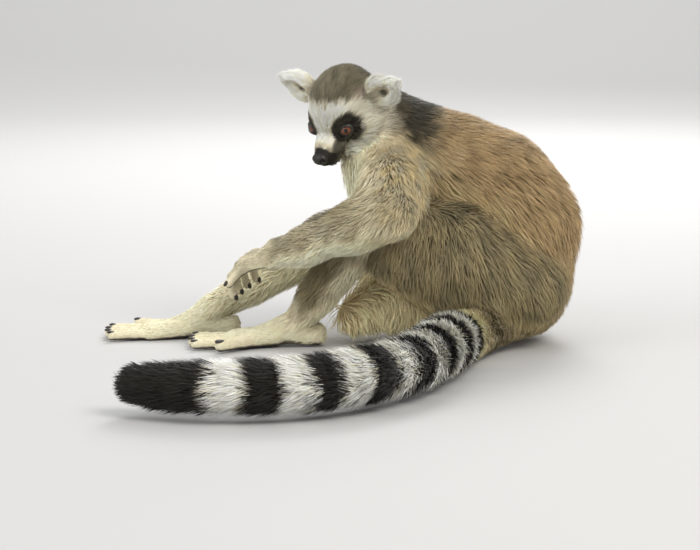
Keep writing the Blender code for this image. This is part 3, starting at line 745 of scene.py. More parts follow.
def keep_largest(obj):
    """Drops the small loose shells, such as pockets inside."""
    mesh = bmesh.new()
    mesh.from_mesh(obj.data)
    islands, seen = [], set()
    for start in mesh.verts:
        if start in seen:
            continue
        island, queue = [], [start]
        seen.add(start)
        while queue:
            at = queue.pop()
            island.append(at)
            for edge in at.link_edges:
                other = edge.other_vert(at)
                if other not in seen:
                    seen.add(other)
                    queue.append(other)
        islands.append(island)
    islands.sort(key=len)
    for island in islands[:-1]:
        bmesh.ops.delete(mesh, geom=island, context="VERTS")
    mesh.to_mesh(obj.data)
    mesh.free()


# ------------------------------------------------------------------ where on the body a point is

PLACES = ["head", "ear_left", "ear_right", "neck", "trunk", "tail"]
PLACES += [f"{part}_{side}" for side in SIDES
           for part in ("upper_arm", "forearm", "hand", "thigh", "shin", "foot")]
SMALL_PLACES = ("head", "ear", "hand", "foot", "tail")   # these keep a sharper edge
LEAST_SHARE = 0.05        # a place with less than this share of the nearest counts for nothing
COLOUR_BLEND = (2.5, 7.0)     # mm over which the small and the large places pass into others
STYLE_BLEND = (2.0, 3.0)      # the same for how their tufts are made

# How many of a piece's shapes come before those of its other half
HAUNCH = 2                # then the calf
BACK = 4                  # then the breast and the belly
NAPE = 2                  # then the throat


def place_shapes(place):
    if place == "tail":
        return [shape for name in PIECES if name.startswith("tail_") for shape in PIECES[name]]
    return PIECES[place]


def place_distances(points):
    """Distance to the flesh of every place, one column each."""
    return np.stack([group_distance(place_shapes(p), points, 0.0, LIMB_BLEND) for p in PLACES], axis=1)


def soft_weights(distances, sharp, soft):
    """Shares that add up to 1, the nearest place's the largest; large parts blend further."""
    lift = distances - distances.min(axis=1, keepdims=True)
    widths = np.array([sharp if place.startswith(SMALL_PLACES) else soft for place in PLACES])
    shares = np.maximum(np.exp(-lift / widths) - LEAST_SHARE, 0)
    return shares / shares.sum(axis=1, keepdims=True)


def limb_frame(shapes, points):
    """For a chain: how far along it points are, in mm, its axis there, and its nearest point."""
    best = np.full(len(points), np.inf)
    along = np.zeros(len(points))
    axis = np.zeros((len(points), 3))
    foot = np.zeros((len(points), 3))
    start = 0.0
    for limb in shapes:
        first, second = limb.centres
        span = second - first
        length = limb.length()
        share = np.clip((points - first) @ span / max(length * length, 1e-9), 0, 1)
        near = first + share[:, None] * span
        away = np.linalg.norm(points - near, axis=1)
        closer = away < best
        best[closer] = away[closer]
        along[closer] = start + share[closer] * length
        axis[closer] = span / max(length, 1e-9)
        foot[closer] = near[closer]
        start += length
    return along, axis, foot


def lie_of(place, points):
    """The way the hair runs there, not yet flattened onto the skin."""
    if place == "head":
        from_nose = points - np.array(on_head(34, 0, -12))
        return from_nose / np.linalg.norm(from_nose, axis=1)[:, None]
    if place.startswith("ear"):
        leaf = PIECES[place][0]
        return leaf.axes[:, 0] + 0.035 * leaf.local(points)[:, 1:2] * leaf.axes[:, 1]
    if place == "trunk":
        _, axis, _ = limb_frame(PIECES["trunk"][:BACK], points)
        return -axis + np.array([0, 0, -0.25])
    if place == "neck":
        halves = PIECES["neck"][:NAPE], PIECES["neck"][NAPE:]
        back, front = (limb_frame(half, points)[1] for half in halves)
        return np.where(throat_share(points)[:, None] > 0.5, front, -back) + np.array([0, 0, -0.2])
    shapes = place_shapes(place)
    along, axis, _ = limb_frame(shapes[:HAUNCH] if place.startswith("thigh") else shapes, points)
    if place == "tail":
        return axis
    if place.startswith("upper_arm"):
        return axis * 0.35 + np.array([0.12, 0, -0.85])
    if place.startswith("thigh"):
        falls, slants = np.array([0.3, 0, -1.0]), np.array([-0.3, 0, -0.95])
        return falls + (slants - falls) * smoothstep(30, 130, along)[:, None]
    return axis + np.array([0, 0, -0.15])


def second_share(shapes, split, points, low):
    """1 near the shapes from that row on, 0 near those before it."""
    halves = shapes[:split], shapes[split:]
    first, second = (group_distance(half, points, 0.0, LIMB_BLEND) for half in halves)
    return smoothstep(low, 3, first - second)


def throat_share(points):
    """1 on the throat, 0 on the nape."""
    return second_share(PIECES["neck"], NAPE, points, -3)


def belly_share(points):
    """1 on the belly and the breast, 0 on the back and the flanks."""
    return second_share(PIECES["trunk"], BACK, points, -5)


# ------------------------------------------------------------------ markings, as functions of place


def rgb(red, green, blue):
    """A linear colour from screen values, 0 to 255."""
    return np.array([((c / 255 + 0.055) / 1.055) ** 2.4 if c > 10 else c / 255 / 12.92
                     for c in (red, green, blue)])


COAT_GAIN = 1.35          # hair shades itself, so its own colour is lighter than it looks
BROWN = rgb(160, 136, 98)
BROWN_DARK = rgb(138, 116, 82)
OLIVE = rgb(138, 124, 90)
OLIVE_DARK = rgb(112, 102, 76)
FLANK = rgb(186, 168, 124)
GREY = rgb(158, 150, 126)
CREAM = rgb(220, 210, 180)
PALE = rgb(228, 219, 188)
BELLY = rgb(220, 202, 160)
WHITE = rgb(242, 233, 210)
DARK = rgb(52, 47, 34)
BLACK = rgb(30, 27, 21)
CROWN = rgb(118, 111, 90)
CROWN_DARK = rgb(88, 83, 66)
MUZZLE = rgb(122, 114, 88)
EAR_GREY = rgb(150, 140, 120)
LEATHER = rgb(58, 52, 46)
TEMPLE = rgb(158, 136, 122)
RING_PERIOD = 46.0        # mm, one white and one black ring together
RING_WHITE = 0.48         # share of it that is white
RING_START = 150.0        # mm along the tail where the first black ring begins
TIP_BLACK = 60.0          # mm, the black end
BLAZE = (3.2, 6.2)        # mm from the middle of the face, between the white and the eye patches
EYE_PATCH = (12.2, 12.6)  # half width and half height, mm
TEAR_PATCH = (9.5, 7.5)   # the same for its corner towards the nose
MUZZLE_BLACK = 22.0       # mm forward, where the black end of the muzzle begins
TEMPLE_SPOT = (-21, 25, 22)   # forward, out and up on the head
TEMPLE_SIZE = (9, 7, 9)
EAR_HOLLOW = (6.5, 5.0)   # half sizes of the ear's opening, which is painted dark as painted shade
# the dark band round the neck: partly dark fur, partly painted shade behind the cheek
COLLAR_SHADE_SPOT = (-80, 0, 191)
COLLAR_SHADE_SIZE = (15, 33, 62)    # through, along and across the neck
LEAST_WEIGHT = 0.004      # a place with less counts for nothing in the colour


def smoothstep(low, high, value):
    share = np.clip((value - low) / (high - low), 0, 1)
    return share * share * (3 - 2 * share)


def mix(a, b, share):
    share = np.clip(share, 0, 1)
    share = share[:, None] if np.ndim(share) == 1 else share
    return a * (1 - share) + b * share


def waves(points, size, seed):
    """Soft noise from a few turned sine waves, about -1 to 1."""
    random = np.random.default_rng(seed)
    total = np.zeros(len(points))
    for _ in range(7):
        direction = unit(random.normal(size=3))
        phase = points @ direction * (2 * math.pi / size) * random.uniform(0.7, 1.6)
        total += np.sin(phase + random.uniform(0, 6.28))
    return total / 3.2


def muzzle_end(local, blur):
    """1 on the black end of the muzzle, which is nearly bare."""
    forward, _, up = local.T
    return smoothstep(-1.2, 1.2, forward - MUZZLE_BLACK + 0.95 * np.maximum(0, -7 - up) + 0.3 * blur)


def head_colour(points):
    local = to_head(points)
    forward, left, up = local.T
    side = np.abs(left)
    blur = waves(points, 9, 11) * 1.2 + waves(points, 4, 12) * 0.6
    # crown: from above the brows back over the skull
    cap = smoothstep(-2.5, 3, up - 24.5 + 0.0155 * side**2 + 0.8 * blur)
    cap = np.maximum(cap, smoothstep(-3, 3, up - 8 + blur) * smoothstep(-22, -32, forward))
    colour = mix(WHITE, mix(CROWN, CROWN_DARK, 0.5 + 0.5 * waves(points, 7, 13)), cap)
    temple = egg_share(local * (1, 0, 1) + np.outer(side, (0, 1, 0)) - TEMPLE_SPOT, TEMPLE_SIZE)
    colour = mix(colour, TEMPLE, 0.65 * smoothstep(1.1, 0.5, temple))
    # nape and behind the ears
    nape = smoothstep(-30, -38, forward + 0.35 * up + blur)
    colour = mix(colour, DARK, nape * smoothstep(-26, -14, up + blur) * (1 - cap * 0.6))
    # cheeks and throat stay white; the muzzle is grey towards the nose
    grey = smoothstep(4, 12, forward + blur) * smoothstep(1, -5, up + 0.3 * forward - 2)
    colour = mix(colour, MUZZLE, 0.8 * (grey * smoothstep(3, 7, side)))
    colour = mix(colour, MUZZLE, 0.6 * smoothstep(17, 22, forward + blur))
    for which in (1, -1):
        centre, gaze, inward, upward = eye_axes(which)
        offset = points - centre
        wide, high = offset @ inward, offset @ upward
        drop = np.hypot(wide / EYE_PATCH[0], (high - 0.6) / EYE_PATCH[1])
        patch = smoothstep(1.1, 0.92, drop + blur * 0.035)
        run = np.hypot((wide - 7) / TEAR_PATCH[0], (high + 9) / TEAR_PATCH[1])
        patch = np.maximum(patch, 0.8 * smoothstep(1.15, 0.8, run + blur * 0.04))
        patch *= smoothstep(-9, -4, offset @ gaze)
        patch *= smoothstep(*BLAZE, side + 0.4 * blur)
        colour = mix(colour, BLACK * 1.1, patch)
    # nose end and lips
    colour = mix(colour, BLACK, muzzle_end(local, blur))
    middle = -16.5 - 0.22 * (forward - 12)
    lips = smoothstep(6.0, 4.2, np.abs(up - middle + 0.3) + 0.3 * blur) * smoothstep(4, 8, forward)
    return mix(colour, BLACK, lips)


def ear_colour(place, points, normals):
    leaf = PIECES[place][0]
    local = leaf.local(points)
    inside = smoothstep(0.2, 0.7, normals @ leaf.axes[:, 2])
    top = 1 if place == "ear_left" else -1
    middle = smoothstep(1.0, 0.35, np.hypot((local[:, 0] - 2) / 11, (local[:, 1] - top) / 9))
    colour = mix(WHITE, EAR_GREY, inside * middle * 0.7)
    # painted shade: the ear's hollow is darkened towards DARK
    return mix(colour, DARK, inside * ear_hollow(place, local) * 0.9)


def ear_hollow(place, local):
    """1 in the ear's opening, which is painted dark as painted shade, along the leaf's own axes."""
    top = 1 if place == "ear_left" else -1
    reach = np.hypot(local[:, 0] / EAR_HOLLOW[0], (local[:, 1] + 2.2 * top) / EAR_HOLLOW[1])
    return smoothstep(1.0, 0.45, reach)


def tail_colour(points):
    along, _, _ = limb_frame(place_shapes("tail"), points)
    total = sum(shape.length() for shape in place_shapes("tail"))
    along = along + waves(points, 14, 21) * 1.6
    turn = ((along - RING_START) / RING_PERIOD) % 1.0
    dark = smoothstep(0.0, 0.05, turn) * smoothstep(1 - RING_WHITE + 0.05, 1 - RING_WHITE, turn)
    dark = dark * smoothstep(RING_START - 3, RING_START, along)
    dark = np.maximum(dark, smoothstep(total - TIP_BLACK - 4, total - TIP_BLACK, along))
    base = mix(OLIVE, CREAM, smoothstep(RING_START - 60, RING_START - 5, along))
    base = mix(base, WHITE, smoothstep(RING_START, RING_START + 20, along))
    return mix(base, BLACK, dark)


def collar_and_shade(points, colour):
    """The dark band round the neck, behind the ears: partly dark fur, partly painted shade behind the
    cheek.
    """
    lean = unit((-0.35, 0, 1))
    local = points - COLLAR_SHADE_SPOT
    through, along = local @ np.cross((0, 1, 0), lean), local @ lean
    reach = np.sqrt((through / COLLAR_SHADE_SIZE[0]) ** 2 + (along / COLLAR_SHADE_SIZE[1]) ** 2
                    + (local[:, 1] / COLLAR_SHADE_SIZE[2]) ** 2) + 0.16 * waves(points, 12, 42)
    return mix(colour, DARK, smoothstep(1.4, 0.6, reach))


def trunk_colour(points, normals):
    blur = waves(points, 30, 31)
    colour = mix(BROWN, BROWN_DARK, 0.5 + 0.6 * waves(points, 22, 32))
    rump = smoothstep(90, 40, points[:, 2] + 8 * blur) * smoothstep(-20, 10, points[:, 0])
    colour = mix(colour, OLIVE, rump * 0.8)
    low = smoothstep(-0.1, -0.75, normals @ np.array([0.75, 0, 0.66]) + 0.12 * blur)
    low = np.maximum(low, belly_share(points) * smoothstep(0, -30, points[:, 0]))
    flank = smoothstep(0.35, -0.2, normals @ np.array([0.6, 0, 0.8]) + 0.1 * blur)
    return mix(mix(colour, FLANK, flank * 0.6), BELLY, low)


def neck_colour(points, normals):
    blur = waves(points, 16, 41)
    colour = mix(DARK, BROWN_DARK, smoothstep(-100, -72, points[:, 0] + 5 * blur))
    colour = mix(colour, FLANK, smoothstep(178, 152, points[:, 2] + 6 * blur))
    front = normals @ unit([-0.85, -0.2, -0.45])
    pale = np.maximum(smoothstep(0.0, 0.5, front + 0.12 * blur), throat_share(points))
    return mix(colour, PALE, pale)


def limb_colour(place, points, normals):
    name, _, side = place.rpartition("_")
    blur = waves(points, 18, 51)
    below = normals[:, 2] + 0.15 * blur
    inner = -normals[:, 1] * SIDES[side]
    if name == "thigh":
        colour = mix(OLIVE, OLIVE_DARK, 0.5 + 0.6 * waves(points, 20, 52))
        colour = mix(colour, CREAM, smoothstep(0.35, 0.8, inner + 0.15 * blur))
        colour = mix(colour, FLANK, smoothstep(-0.35, -0.8, below) * 0.7)
        hem = 46 - 0.63 * np.maximum(0, points[:, 0] + 95)
        return mix(colour, BELLY, smoothstep(7, -7, points[:, 2] - hem + 5 * blur))
    if name == "shin":
        colour = mix(OLIVE, OLIVE_DARK, 0.5 + 0.5 * blur)
        along, _, _ = limb_frame(PIECES[place], points)
        colour = mix(colour, CREAM, smoothstep(0.25, 0.7, inner + 0.1 * blur))
        colour = mix(colour, CREAM, smoothstep(-0.1, -0.7, below))
        return mix(colour, CREAM, smoothstep(95, 125, along + 6 * blur))
    if name == "foot":
        return mix(CREAM, LEATHER, smoothstep(-0.35, -0.7, normals[:, 2]))
    if name == "upper_arm":
        colour = mix(FLANK, GREY, 0.5 + 0.5 * blur)
        front = -normals[:, 0]
        return mix(colour, CREAM, smoothstep(0.1, 0.8, front + 0.1 * blur) * 0.8)
    if name == "forearm":
        colour = mix(GREY, OLIVE, 0.35 + 0.35 * blur)
        return mix(colour, PALE, smoothstep(0.15, -0.45, below))
    colour = mix(GREY, CREAM, 0.45 + 0.4 * blur)
    return mix(colour, LEATHER, smoothstep(-0.2, -0.6, normals @ unit(HAND_BACK[side])))


def markings(points, normals, weights):
    """The coat's colour at points on the skin, in linear RGB."""
    colour = np.zeros((len(points), 3))
    for i, place in enumerate(PLACES):
        share = weights[:, i]
        near = share > LEAST_WEIGHT
        if not near.any():
            continue
        at, out = points[near], normals[near]
        if place == "head":
            made = head_colour(at)
        elif place.startswith("ear"):
            made = ear_colour(place, at, out)
        elif place == "tail":
            made = tail_colour(at)
        elif place == "trunk":
            made = trunk_colour(at, out)
        elif place == "neck":
            made = neck_colour(at, out)
        else:
            made = limb_colour(place, at, out)
        # the neck's dark band, partly dark fur and partly painted shade
        if place in ("neck", "trunk") or place.startswith("upper_arm"):
            made = collar_and_shade(at, made)
        colour[near] += made * share[near][:, None]
    total = np.where(weights > LEAST_WEIGHT, weights, 0).sum(1)
    return colour / total[:, None]


# ------------------------------------------------------------------ the coat

# name: (places, tufts, slot)
COATS = {
    "coat_head": (("head", "ear_left", "ear_right"), 38500, "coat_pale"),
    "coat_neck": (("neck", "trunk_front"), 37000, "coat_dark"),
    "coat_back": (("trunk_rear",), 36000, "coat_brown"),
    "coat_arm_left": (("upper_arm_left", "forearm_left", "hand_left"), 28000, "coat_grey"),
    "coat_arm_right": (("upper_arm_right", "forearm_right", "hand_right"), 22000, "coat_grey"),
    "coat_leg_left": (("thigh_left", "shin_left", "foot_left"), 38500, "coat_grey"),
    "coat_leg_right": (("thigh_right", "shin_right", "foot_right"), 34000, "coat_grey"),
    "coat_tail_root": (("tail_near",), 30000, "coat_ringed"),
    "coat_tail_end": (("tail_far",), 32000, "coat_ringed"),
}
TRUNK_SPLIT = -42.0       # x, mm
TAIL_SPLIT = 330.0        # mm along the tail
# by place: how close the tufts stand, how wide they are and how long for their depth
STYLE = {
    "head": (3.2, 0.4, 1.9),
    "ear": (3.4, 0.42, 4.0),
    "neck": (1.2, 0.8, 1.6),
    "trunk": (1.0, 1.0, 1.6),
    "tail": (1.0, 0.9, 1.05),
    "upper_arm": (1.3, 0.9, 1.7),
    "forearm": (1.2, 0.75, 1.5),
    "hand": (5.2, 0.42, 6.0),
    "thigh": (0.95, 0.95, 1.7),
    "shin": (1.1, 0.8, 1.5),
    "foot": (5.0, 0.46, 6.0),
}
CLUMP = 6.5               # mm, the size of the locks that tufts gather into
CLUMP_SHARE = 0.28
FOLD_THINNING = 0.15      # share of the tufts left out in the folds between parts of the body
BARE_NOSE = (6.5, 7.6, 6.0)   # half sizes of the hairless end of the nose
BRIGHTEST = 0.92
LIE_ROUNDS = 60           # how often the way the hair runs is evened out
DEPTH_ROUNDS = 6          # and the coat's depth
ROOT_DEPTH = 0.25         # mm under the skin
HAIR_FLOOR = 0.2          # mm, the hair's lowest point
WIDTH_SPREAD = (0.7, 1.3)
REACH_SPREAD = (0.7, 1.2)
HEIGHT_SPREAD = (4, 1.6)  # of a beta distribution: most tufts end near the coat's outside
LEAST_HEIGHT = 0.25
SWAY = (0.22, 0.16)       # of a lock and of a single tuft, as a slope across its run
TWIST = 0.45              # radians, of a tuft about its run
SHADE = 0.075             # how much one tuft's brightness varies
DARK_TUFTS = (0.12, 0.2)  # share of the tufts that are darker still, and how much
TINT = 0.02               # how much each of its colours varies
# A tuft's corners: two at the root, three half way with a keel, one at the tip
TUFT_FACES = np.array([[0, 3, 2], [0, 1, 3], [1, 4, 3], [2, 3, 5], [3, 4, 5]])
TUFT_SHADE_RAMP = np.array([0.8, 0.8, 0.95, 1.0, 0.95, 1.1])   # brightness of each corner: painted shade at the roots, painted light at the keel and the tip
TUFT_MAP = np.array([[-1, -1], [1, -1], [-1, 0], [0, 0.2], [1, 0], [0, 1]]) * 0.0015
CORNERS = len(TUFT_SHADE_RAMP)


def style_of(place):
    return STYLE[place if place in STYLE else place.rpartition("_")[0]]


def coat_groups(points, nearest):
    """The coat piece of each point, by name."""
    names = np.array(PLACES, dtype=object)[nearest]
    trunk = names == "trunk"
    names[trunk & (points[:, 0] < TRUNK_SPLIT)] = "trunk_front"
    names[trunk & (points[:, 0] >= TRUNK_SPLIT)] = "trunk_rear"
    tail = np.nonzero(names == "tail")[0]
    if len(tail):
        along, _, _ = limb_frame(place_shapes("tail"), points[tail])
        names[tail] = np.where(along < TAIL_SPLIT, "tail_near", "tail_far")
    return names


def triangles(obj):
    obj.data.calc_loop_triangles()
    corners = np.empty(len(obj.data.loop_triangles) * 3, np.int32)
    obj.data.loop_triangles.foreach_get("vertices", corners)
    return corners.reshape(-1, 3)


def vertex_normals(obj):
    normals = np.empty(len(obj.data.vertices) * 3, np.float32)
    obj.data.vertex_normals.foreach_get("vector", normals)
    return normals.reshape(-1, 3).astype(float)


def flatten(vectors, normals):
    """The part of each vector that runs along the skin, as a unit vector."""
    flat = vectors - normals * (vectors * normals).sum(1)[:, None]
    return flat / np.maximum(np.linalg.norm(flat, axis=1), 1e-6)[:, None]


def local_coat(points):
    """The coat's depth on the shape that each point lies on."""
    total, shares = np.zeros(len(points)), np.full(len(points), 1e-9)
    for group in PIECES.values():
        for shape in group:
            centre, radius = shape.reach()
            near = np.linalg.norm(points - centre, axis=1) < radius + 8
            if near.any():
                bare = shape.distance(points[near], 0.0)
                share = np.exp(-np.maximum(bare, 0) / 1.5)
                total[near] += share * (bare - shape.distance(points[near], 1.0))
                shares[near] += share
    return np.maximum(total / shares, 0.3)


def neighbour_mean(skin, values, rounds):
    """Values at the skin's vertices, evened out along its edges."""
    count = len(skin.data.vertices)
    edges = np.empty(len(skin.data.edges) * 2, np.int32)
    skin.data.edges.foreach_get("vertices", edges)
    first, second = edges.reshape(-1, 2).T
    number = np.bincount(first, minlength=count) + np.bincount(second, minlength=count)
    for _ in range(rounds):
        total = np.stack([
            np.bincount(first, column[second], count) + np.bincount(second, column[first], count)
            for column in values.T
        ], axis=1)
        values = 0.5 * values + 0.5 * total / np.maximum(number, 1)[:, None]
    return values


def skin_fields(skin):
    """What the coat needs to know at each vertex of the skin."""
    points, normals = positions(skin), vertex_normals(skin)
    distances = place_distances(points)
    weights = soft_weights(distances, *COLOUR_BLEND)
    lie = np.zeros_like(points)
    for i, place in enumerate(PLACES):
        near = weights[:, i] > 0.01
        lie[near] += lie_of(place, points[near]) * weights[near, i][:, None]
    depth = -body_distance(PIECES, points, 1.0)
    coat = local_coat(points)
    lie = neighbour_mean(skin, flatten(lie, normals), LIE_ROUNDS)
    fold = smoothstep(1.4, 2.4, depth / np.maximum(coat, 1.0))
    depth = neighbour_mean(skin, np.minimum(depth, 1.3 * coat + 1.0)[:, None], DEPTH_ROUNDS)[:, 0]
    styles = soft_weights(distances, *STYLE_BLEND) @ np.array([style_of(p) for p in PLACES])
    return {
        "points": points, "normals": normals, "weights": weights, "lie": flatten(lie, normals),
        "depth": depth, "style": styles, "nearest": distances.argmin(axis=1), "fold": fold,
    }


def hair_allowed(points, normals, weights, depth):
    """Zero where the skin is bare: nose, lids, pads of hands and feet."""
    allowed = np.ones(len(points))
    for which in (1, -1):
        rim, ahead, _, _ = lid_rim(which, points, 1.0)
        allowed *= np.where((rim < 1) & (ahead > 0), 0, 1)
    local = to_head(points)
    nose = egg_share(local - np.array([NOSE_REACH - 1, 0, NOSE_RISE - 0.5]), BARE_NOSE)
    allowed *= np.where(nose < 1, 0, 1)
    allowed *= 1 - 0.85 * muzzle_end(local, np.zeros(len(points)))
    for side in SIDES:
        leaf = PIECES[f"ear_{side}"][0]
        within = leaf.local(points)
        cup = (np.abs(within[:, 2]) < 12) * (normals @ leaf.axes[:, 2] > 0.2)
        allowed *= 1 - 0.8 * (ear_hollow(f"ear_{side}", within) * cup)
        foot, hand = (weights[:, PLACES.index(f"{name}_{side}")] > 0.5 for name in ("foot", "hand"))
        allowed *= np.where(foot & (normals[:, 2] < -0.35), 0, 1)
        allowed *= np.where(hand & (normals @ unit(HAND_BACK[side]) < -0.3), 0, 1)
    return allowed * np.clip(depth, 0, 1)


def sample_roots(random, fields, faces, rows, count):
    """Roots spread over some triangles, as triangle rows and shares of their corners."""
    corners = fields["points"][faces[rows]]
    first, second = corners[:, 1] - corners[:, 0], corners[:, 2] - corners[:, 0]
    area = np.linalg.norm(np.cross(first, second), axis=1) / 2
    density = fields["style"][faces[rows], 0].mean(axis=1) * fields["allowed"][faces[rows]].mean(axis=1)
    chance = area * density * (1 - FOLD_THINNING * fields["fold"][faces[rows]].mean(axis=1))
    edges = np.cumsum(chance)
    picks = (np.arange(count) + random.uniform(0, 1, count)) / count * edges[-1]
    chosen = rows[np.minimum(np.searchsorted(edges, picks), len(rows) - 1)]
    first, second = random.uniform(0, 1, (2, count))
    over = first + second > 1
    first[over], second[over] = 1 - first[over], 1 - second[over]
    return chosen, np.stack([1 - first - second, first, second], axis=1)


def spread(fields, key, faces, chosen, shares):
    values = fields[key][faces[chosen]]
    return (values * shares[:, :, None]).sum(1) if values.ndim == 3 else (values * shares).sum(1)


def outer_field(points):
    return body_distance(PIECES, points, 1.0)


def to_depth(points, wanted):
    """Moves points so that they lie this deep, in mm, under the coat's outside."""
    return settle(points, outer_field, 1, wanted, step=0.2, flattest=0.3, longest=8.0)


def gather(points, anchors, size, share):
    """Draws points whose anchors share a cell, in a wavy grid, towards their common middle."""
    jitter = anchors + waves(anchors, size * 2.2, 71)[:, None] * size * 0.4
    cell = np.floor(jitter / size).astype(np.int64)
    key = cell[:, 0] * 73856093 ^ cell[:, 1] * 19349663 ^ cell[:, 2] * 83492791
    _, index = np.unique(key, return_inverse=True)
    number = np.bincount(index)
    middle = np.stack([np.bincount(index, points[:, k]) / number for k in range(3)], axis=1)
    return points * (1 - share) + middle[index] * share


def normalised(vectors):
    return vectors / np.maximum(np.linalg.norm(vectors, axis=1), 1e-6)[:, None]


def grow(name, fields, faces, groups, random):
    """The tufts of one coat piece: vertices, colours and map corners."""
    places, count, _ = COATS[name]
    rows = np.nonzero(np.isin(groups, places))[0]
    chosen, shares = sample_roots(random, fields, faces, rows, count)
    roots, normals, lie, depth, style, weights = (
        spread(fields, key, faces, chosen, shares)
        for key in ("points", "normals", "lie", "depth", "style", "weights"))
    normals = normalised(normals)
    lie = flatten(lie, normals)
    depth = np.maximum(depth, 0.5)
    width = style[:, 1] * random.uniform(*WIDTH_SPREAD, count)
    free = weights[:, PLACES.index("ear_left")] + weights[:, PLACES.index("ear_right")]
    longest = 4.0 + 3.0 * free + depth * 1.7
    reach = np.minimum(depth * style[:, 2], longest) * random.uniform(*REACH_SPREAD, count)
    height = np.clip(random.beta(*HEIGHT_SPREAD, count), LEAST_HEIGHT, 1)
    sway = waves(roots, 26, 61) * SWAY[0] + random.normal(0, SWAY[1], count)
    heading = normalised(lie + np.cross(normals, lie) * sway[:, None])
    colour = markings(roots + heading * (reach * 0.55)[:, None], normals, weights)

    middle = roots + heading * (reach * 0.42)[:, None] + normals * (depth * height * 0.6)[:, None]
    tips = roots + heading * reach[:, None] + normals * (depth * height)[:, None]
    tips = tips + (to_depth(tips, depth * (1 - height) + 0.1) - tips) * (1 - 0.75 * free)[:, None]
    middle = to_depth(middle, depth * (1 - 0.62 * height))
    tips = gather(tips, roots + heading * (reach * 0.5)[:, None], CLUMP, CLUMP_SHARE)
    run = normalised(tips - roots)
    outward = flatten(normals, run)
    side = np.cross(outward, run)
    twist = random.normal(0, TWIST, count)
    side = side * np.cos(twist)[:, None] + outward * np.sin(twist)[:, None]
    keel = np.cross(run, side)
    half = (width / 2)[:, None]
    planted = roots - normals * ROOT_DEPTH
    vertices = np.stack([
        planted - side * half, planted + side * half,
        middle - side * half * 0.85, middle + keel * half * 0.5, middle + side * half * 0.85,
        tips,
    ], axis=1)
    vertices[:, :, 2] = np.maximum(vertices[:, :, 2], HAIR_FLOOR)

    shade = 1 + random.normal(0, SHADE, count)
    shade = (shade - DARK_TUFTS[1] * (random.uniform(0, 1, count) < DARK_TUFTS[0]))[:, None]
    tint = 1 + random.normal(0, TINT, (count, 3))
    base = colour * COAT_GAIN * shade * tint
    # painted shade darkens each tuft towards its root; painted light brightens its keel and its tip
    colours = np.clip(base[:, None, :] * TUFT_SHADE_RAMP[None, :, None], 0, BRIGHTEST)
    return vertices, colours, unwrap(name, roots, weights)


def plain_place(place):
    """The body's place under a coat piece's: trunk for trunk_front, tail for tail_far."""
    return place.split("_")[0] if place.startswith(("trunk", "tail")) else place


def unwrap(name, roots, weights):
    """Each root's place on the skin unrolled: along its limb, and round it."""
    places = COATS[name][0]
    strips = np.zeros((len(roots), 2))
    near = weights.argmax(axis=1)
    for band, place in enumerate(places):
        mine = near == PLACES.index(plain_place(place))
        if place.startswith("trunk"):
            mine &= (roots[:, 0] < TRUNK_SPLIT) == (place == "trunk_front")
        if band == 0:
            mine |= ~np.isin(near, [PLACES.index(plain_place(other)) for other in places])
        if not mine.any():
            continue
        points = roots[mine]
        if place.startswith("ear"):
            run, across, out = PIECES[place][0].local(points).T
            turn = np.where(out > 0, 0.25, 0.75) + across / 34 * 0.22
        elif place == "head":
            forward, left, up = (to_head(points) + np.array([18, 0, 0])).T
            turn = np.arctan2(left, up) / (2 * math.pi) + 0.5
            run = -np.arctan2(forward, np.hypot(left, up)) * 40
        else:
            run, axis, foot = limb_frame(place_shapes(plain_place(place)), points)
            away = points - foot
            reference = flatten(np.tile(np.array([0.02, 0.01, 1.0]), (len(points), 1)), axis)
            third = np.cross(axis, reference)
            turn = np.arctan2((away * third).sum(1), (away * reference).sum(1)) / (2 * math.pi) + 0.5
        low, high = run.min(), max(run.max(), run.min() + 1)
        strips[mine, 0] = 0.01 + 0.98 * turn
        strips[mine, 1] = (band + 0.02 + 0.96 * (run - low) / (high - low)) / len(places)
    return strips


def paint(data, colours):
    """Puts a linear colour at every vertex, where the coat's materials read it."""
    full = np.concatenate([colours, np.ones((len(colours), 1))], axis=1)
    attribute = data.attributes.new("coat", "FLOAT_COLOR", "POINT")
    attribute.data.foreach_set("color", full.astype(np.float32).ravel())


def tuft_object(name, vertices, colours, places):
    """One mesh of all a piece's tufts, with their colours and the map for baking."""
    count = len(vertices)
    data = bpy.data.meshes.new(name)
    data.vertices.add(count * CORNERS)
    data.vertices.foreach_set("co", (vertices.reshape(-1, 3) * MM).astype(np.float32).ravel())
    faces = (TUFT_FACES[None] + (np.arange(count) * CORNERS)[:, None, None]).reshape(-1, 3)
    data.loops.add(faces.size)
    data.loops.foreach_set("vertex_index", faces.astype(np.int32).ravel())
    data.polygons.add(len(faces))
    data.polygons.foreach_set("loop_start", (np.arange(len(faces)) * 3).astype(np.int32))
    data.update(calc_edges=True)
    paint(data, colours.reshape(-1, 3))
    layer = data.uv_layers.new(name="OFBake")
    corners = (places[:, None, :] + TUFT_MAP[None])[:, TUFT_FACES].reshape(-1, 2)
    layer.data.foreach_set("uv", corners.astype(np.float32).ravel())
    data.shade_smooth()
    return add_object(name, data)


# ------------------------------------------------------------------ materials


def new_material(name, roughness, specular):
    material = bpy.data.materials.new(name)
    material.use_nodes = True
    shader = material.node_tree.nodes["Principled BSDF"]
    shader.inputs["Roughness"].default_value = roughness
    shader.inputs["Specular IOR Level"].default_value = specular
    return material, material.node_tree.nodes, material.node_tree.links, shader


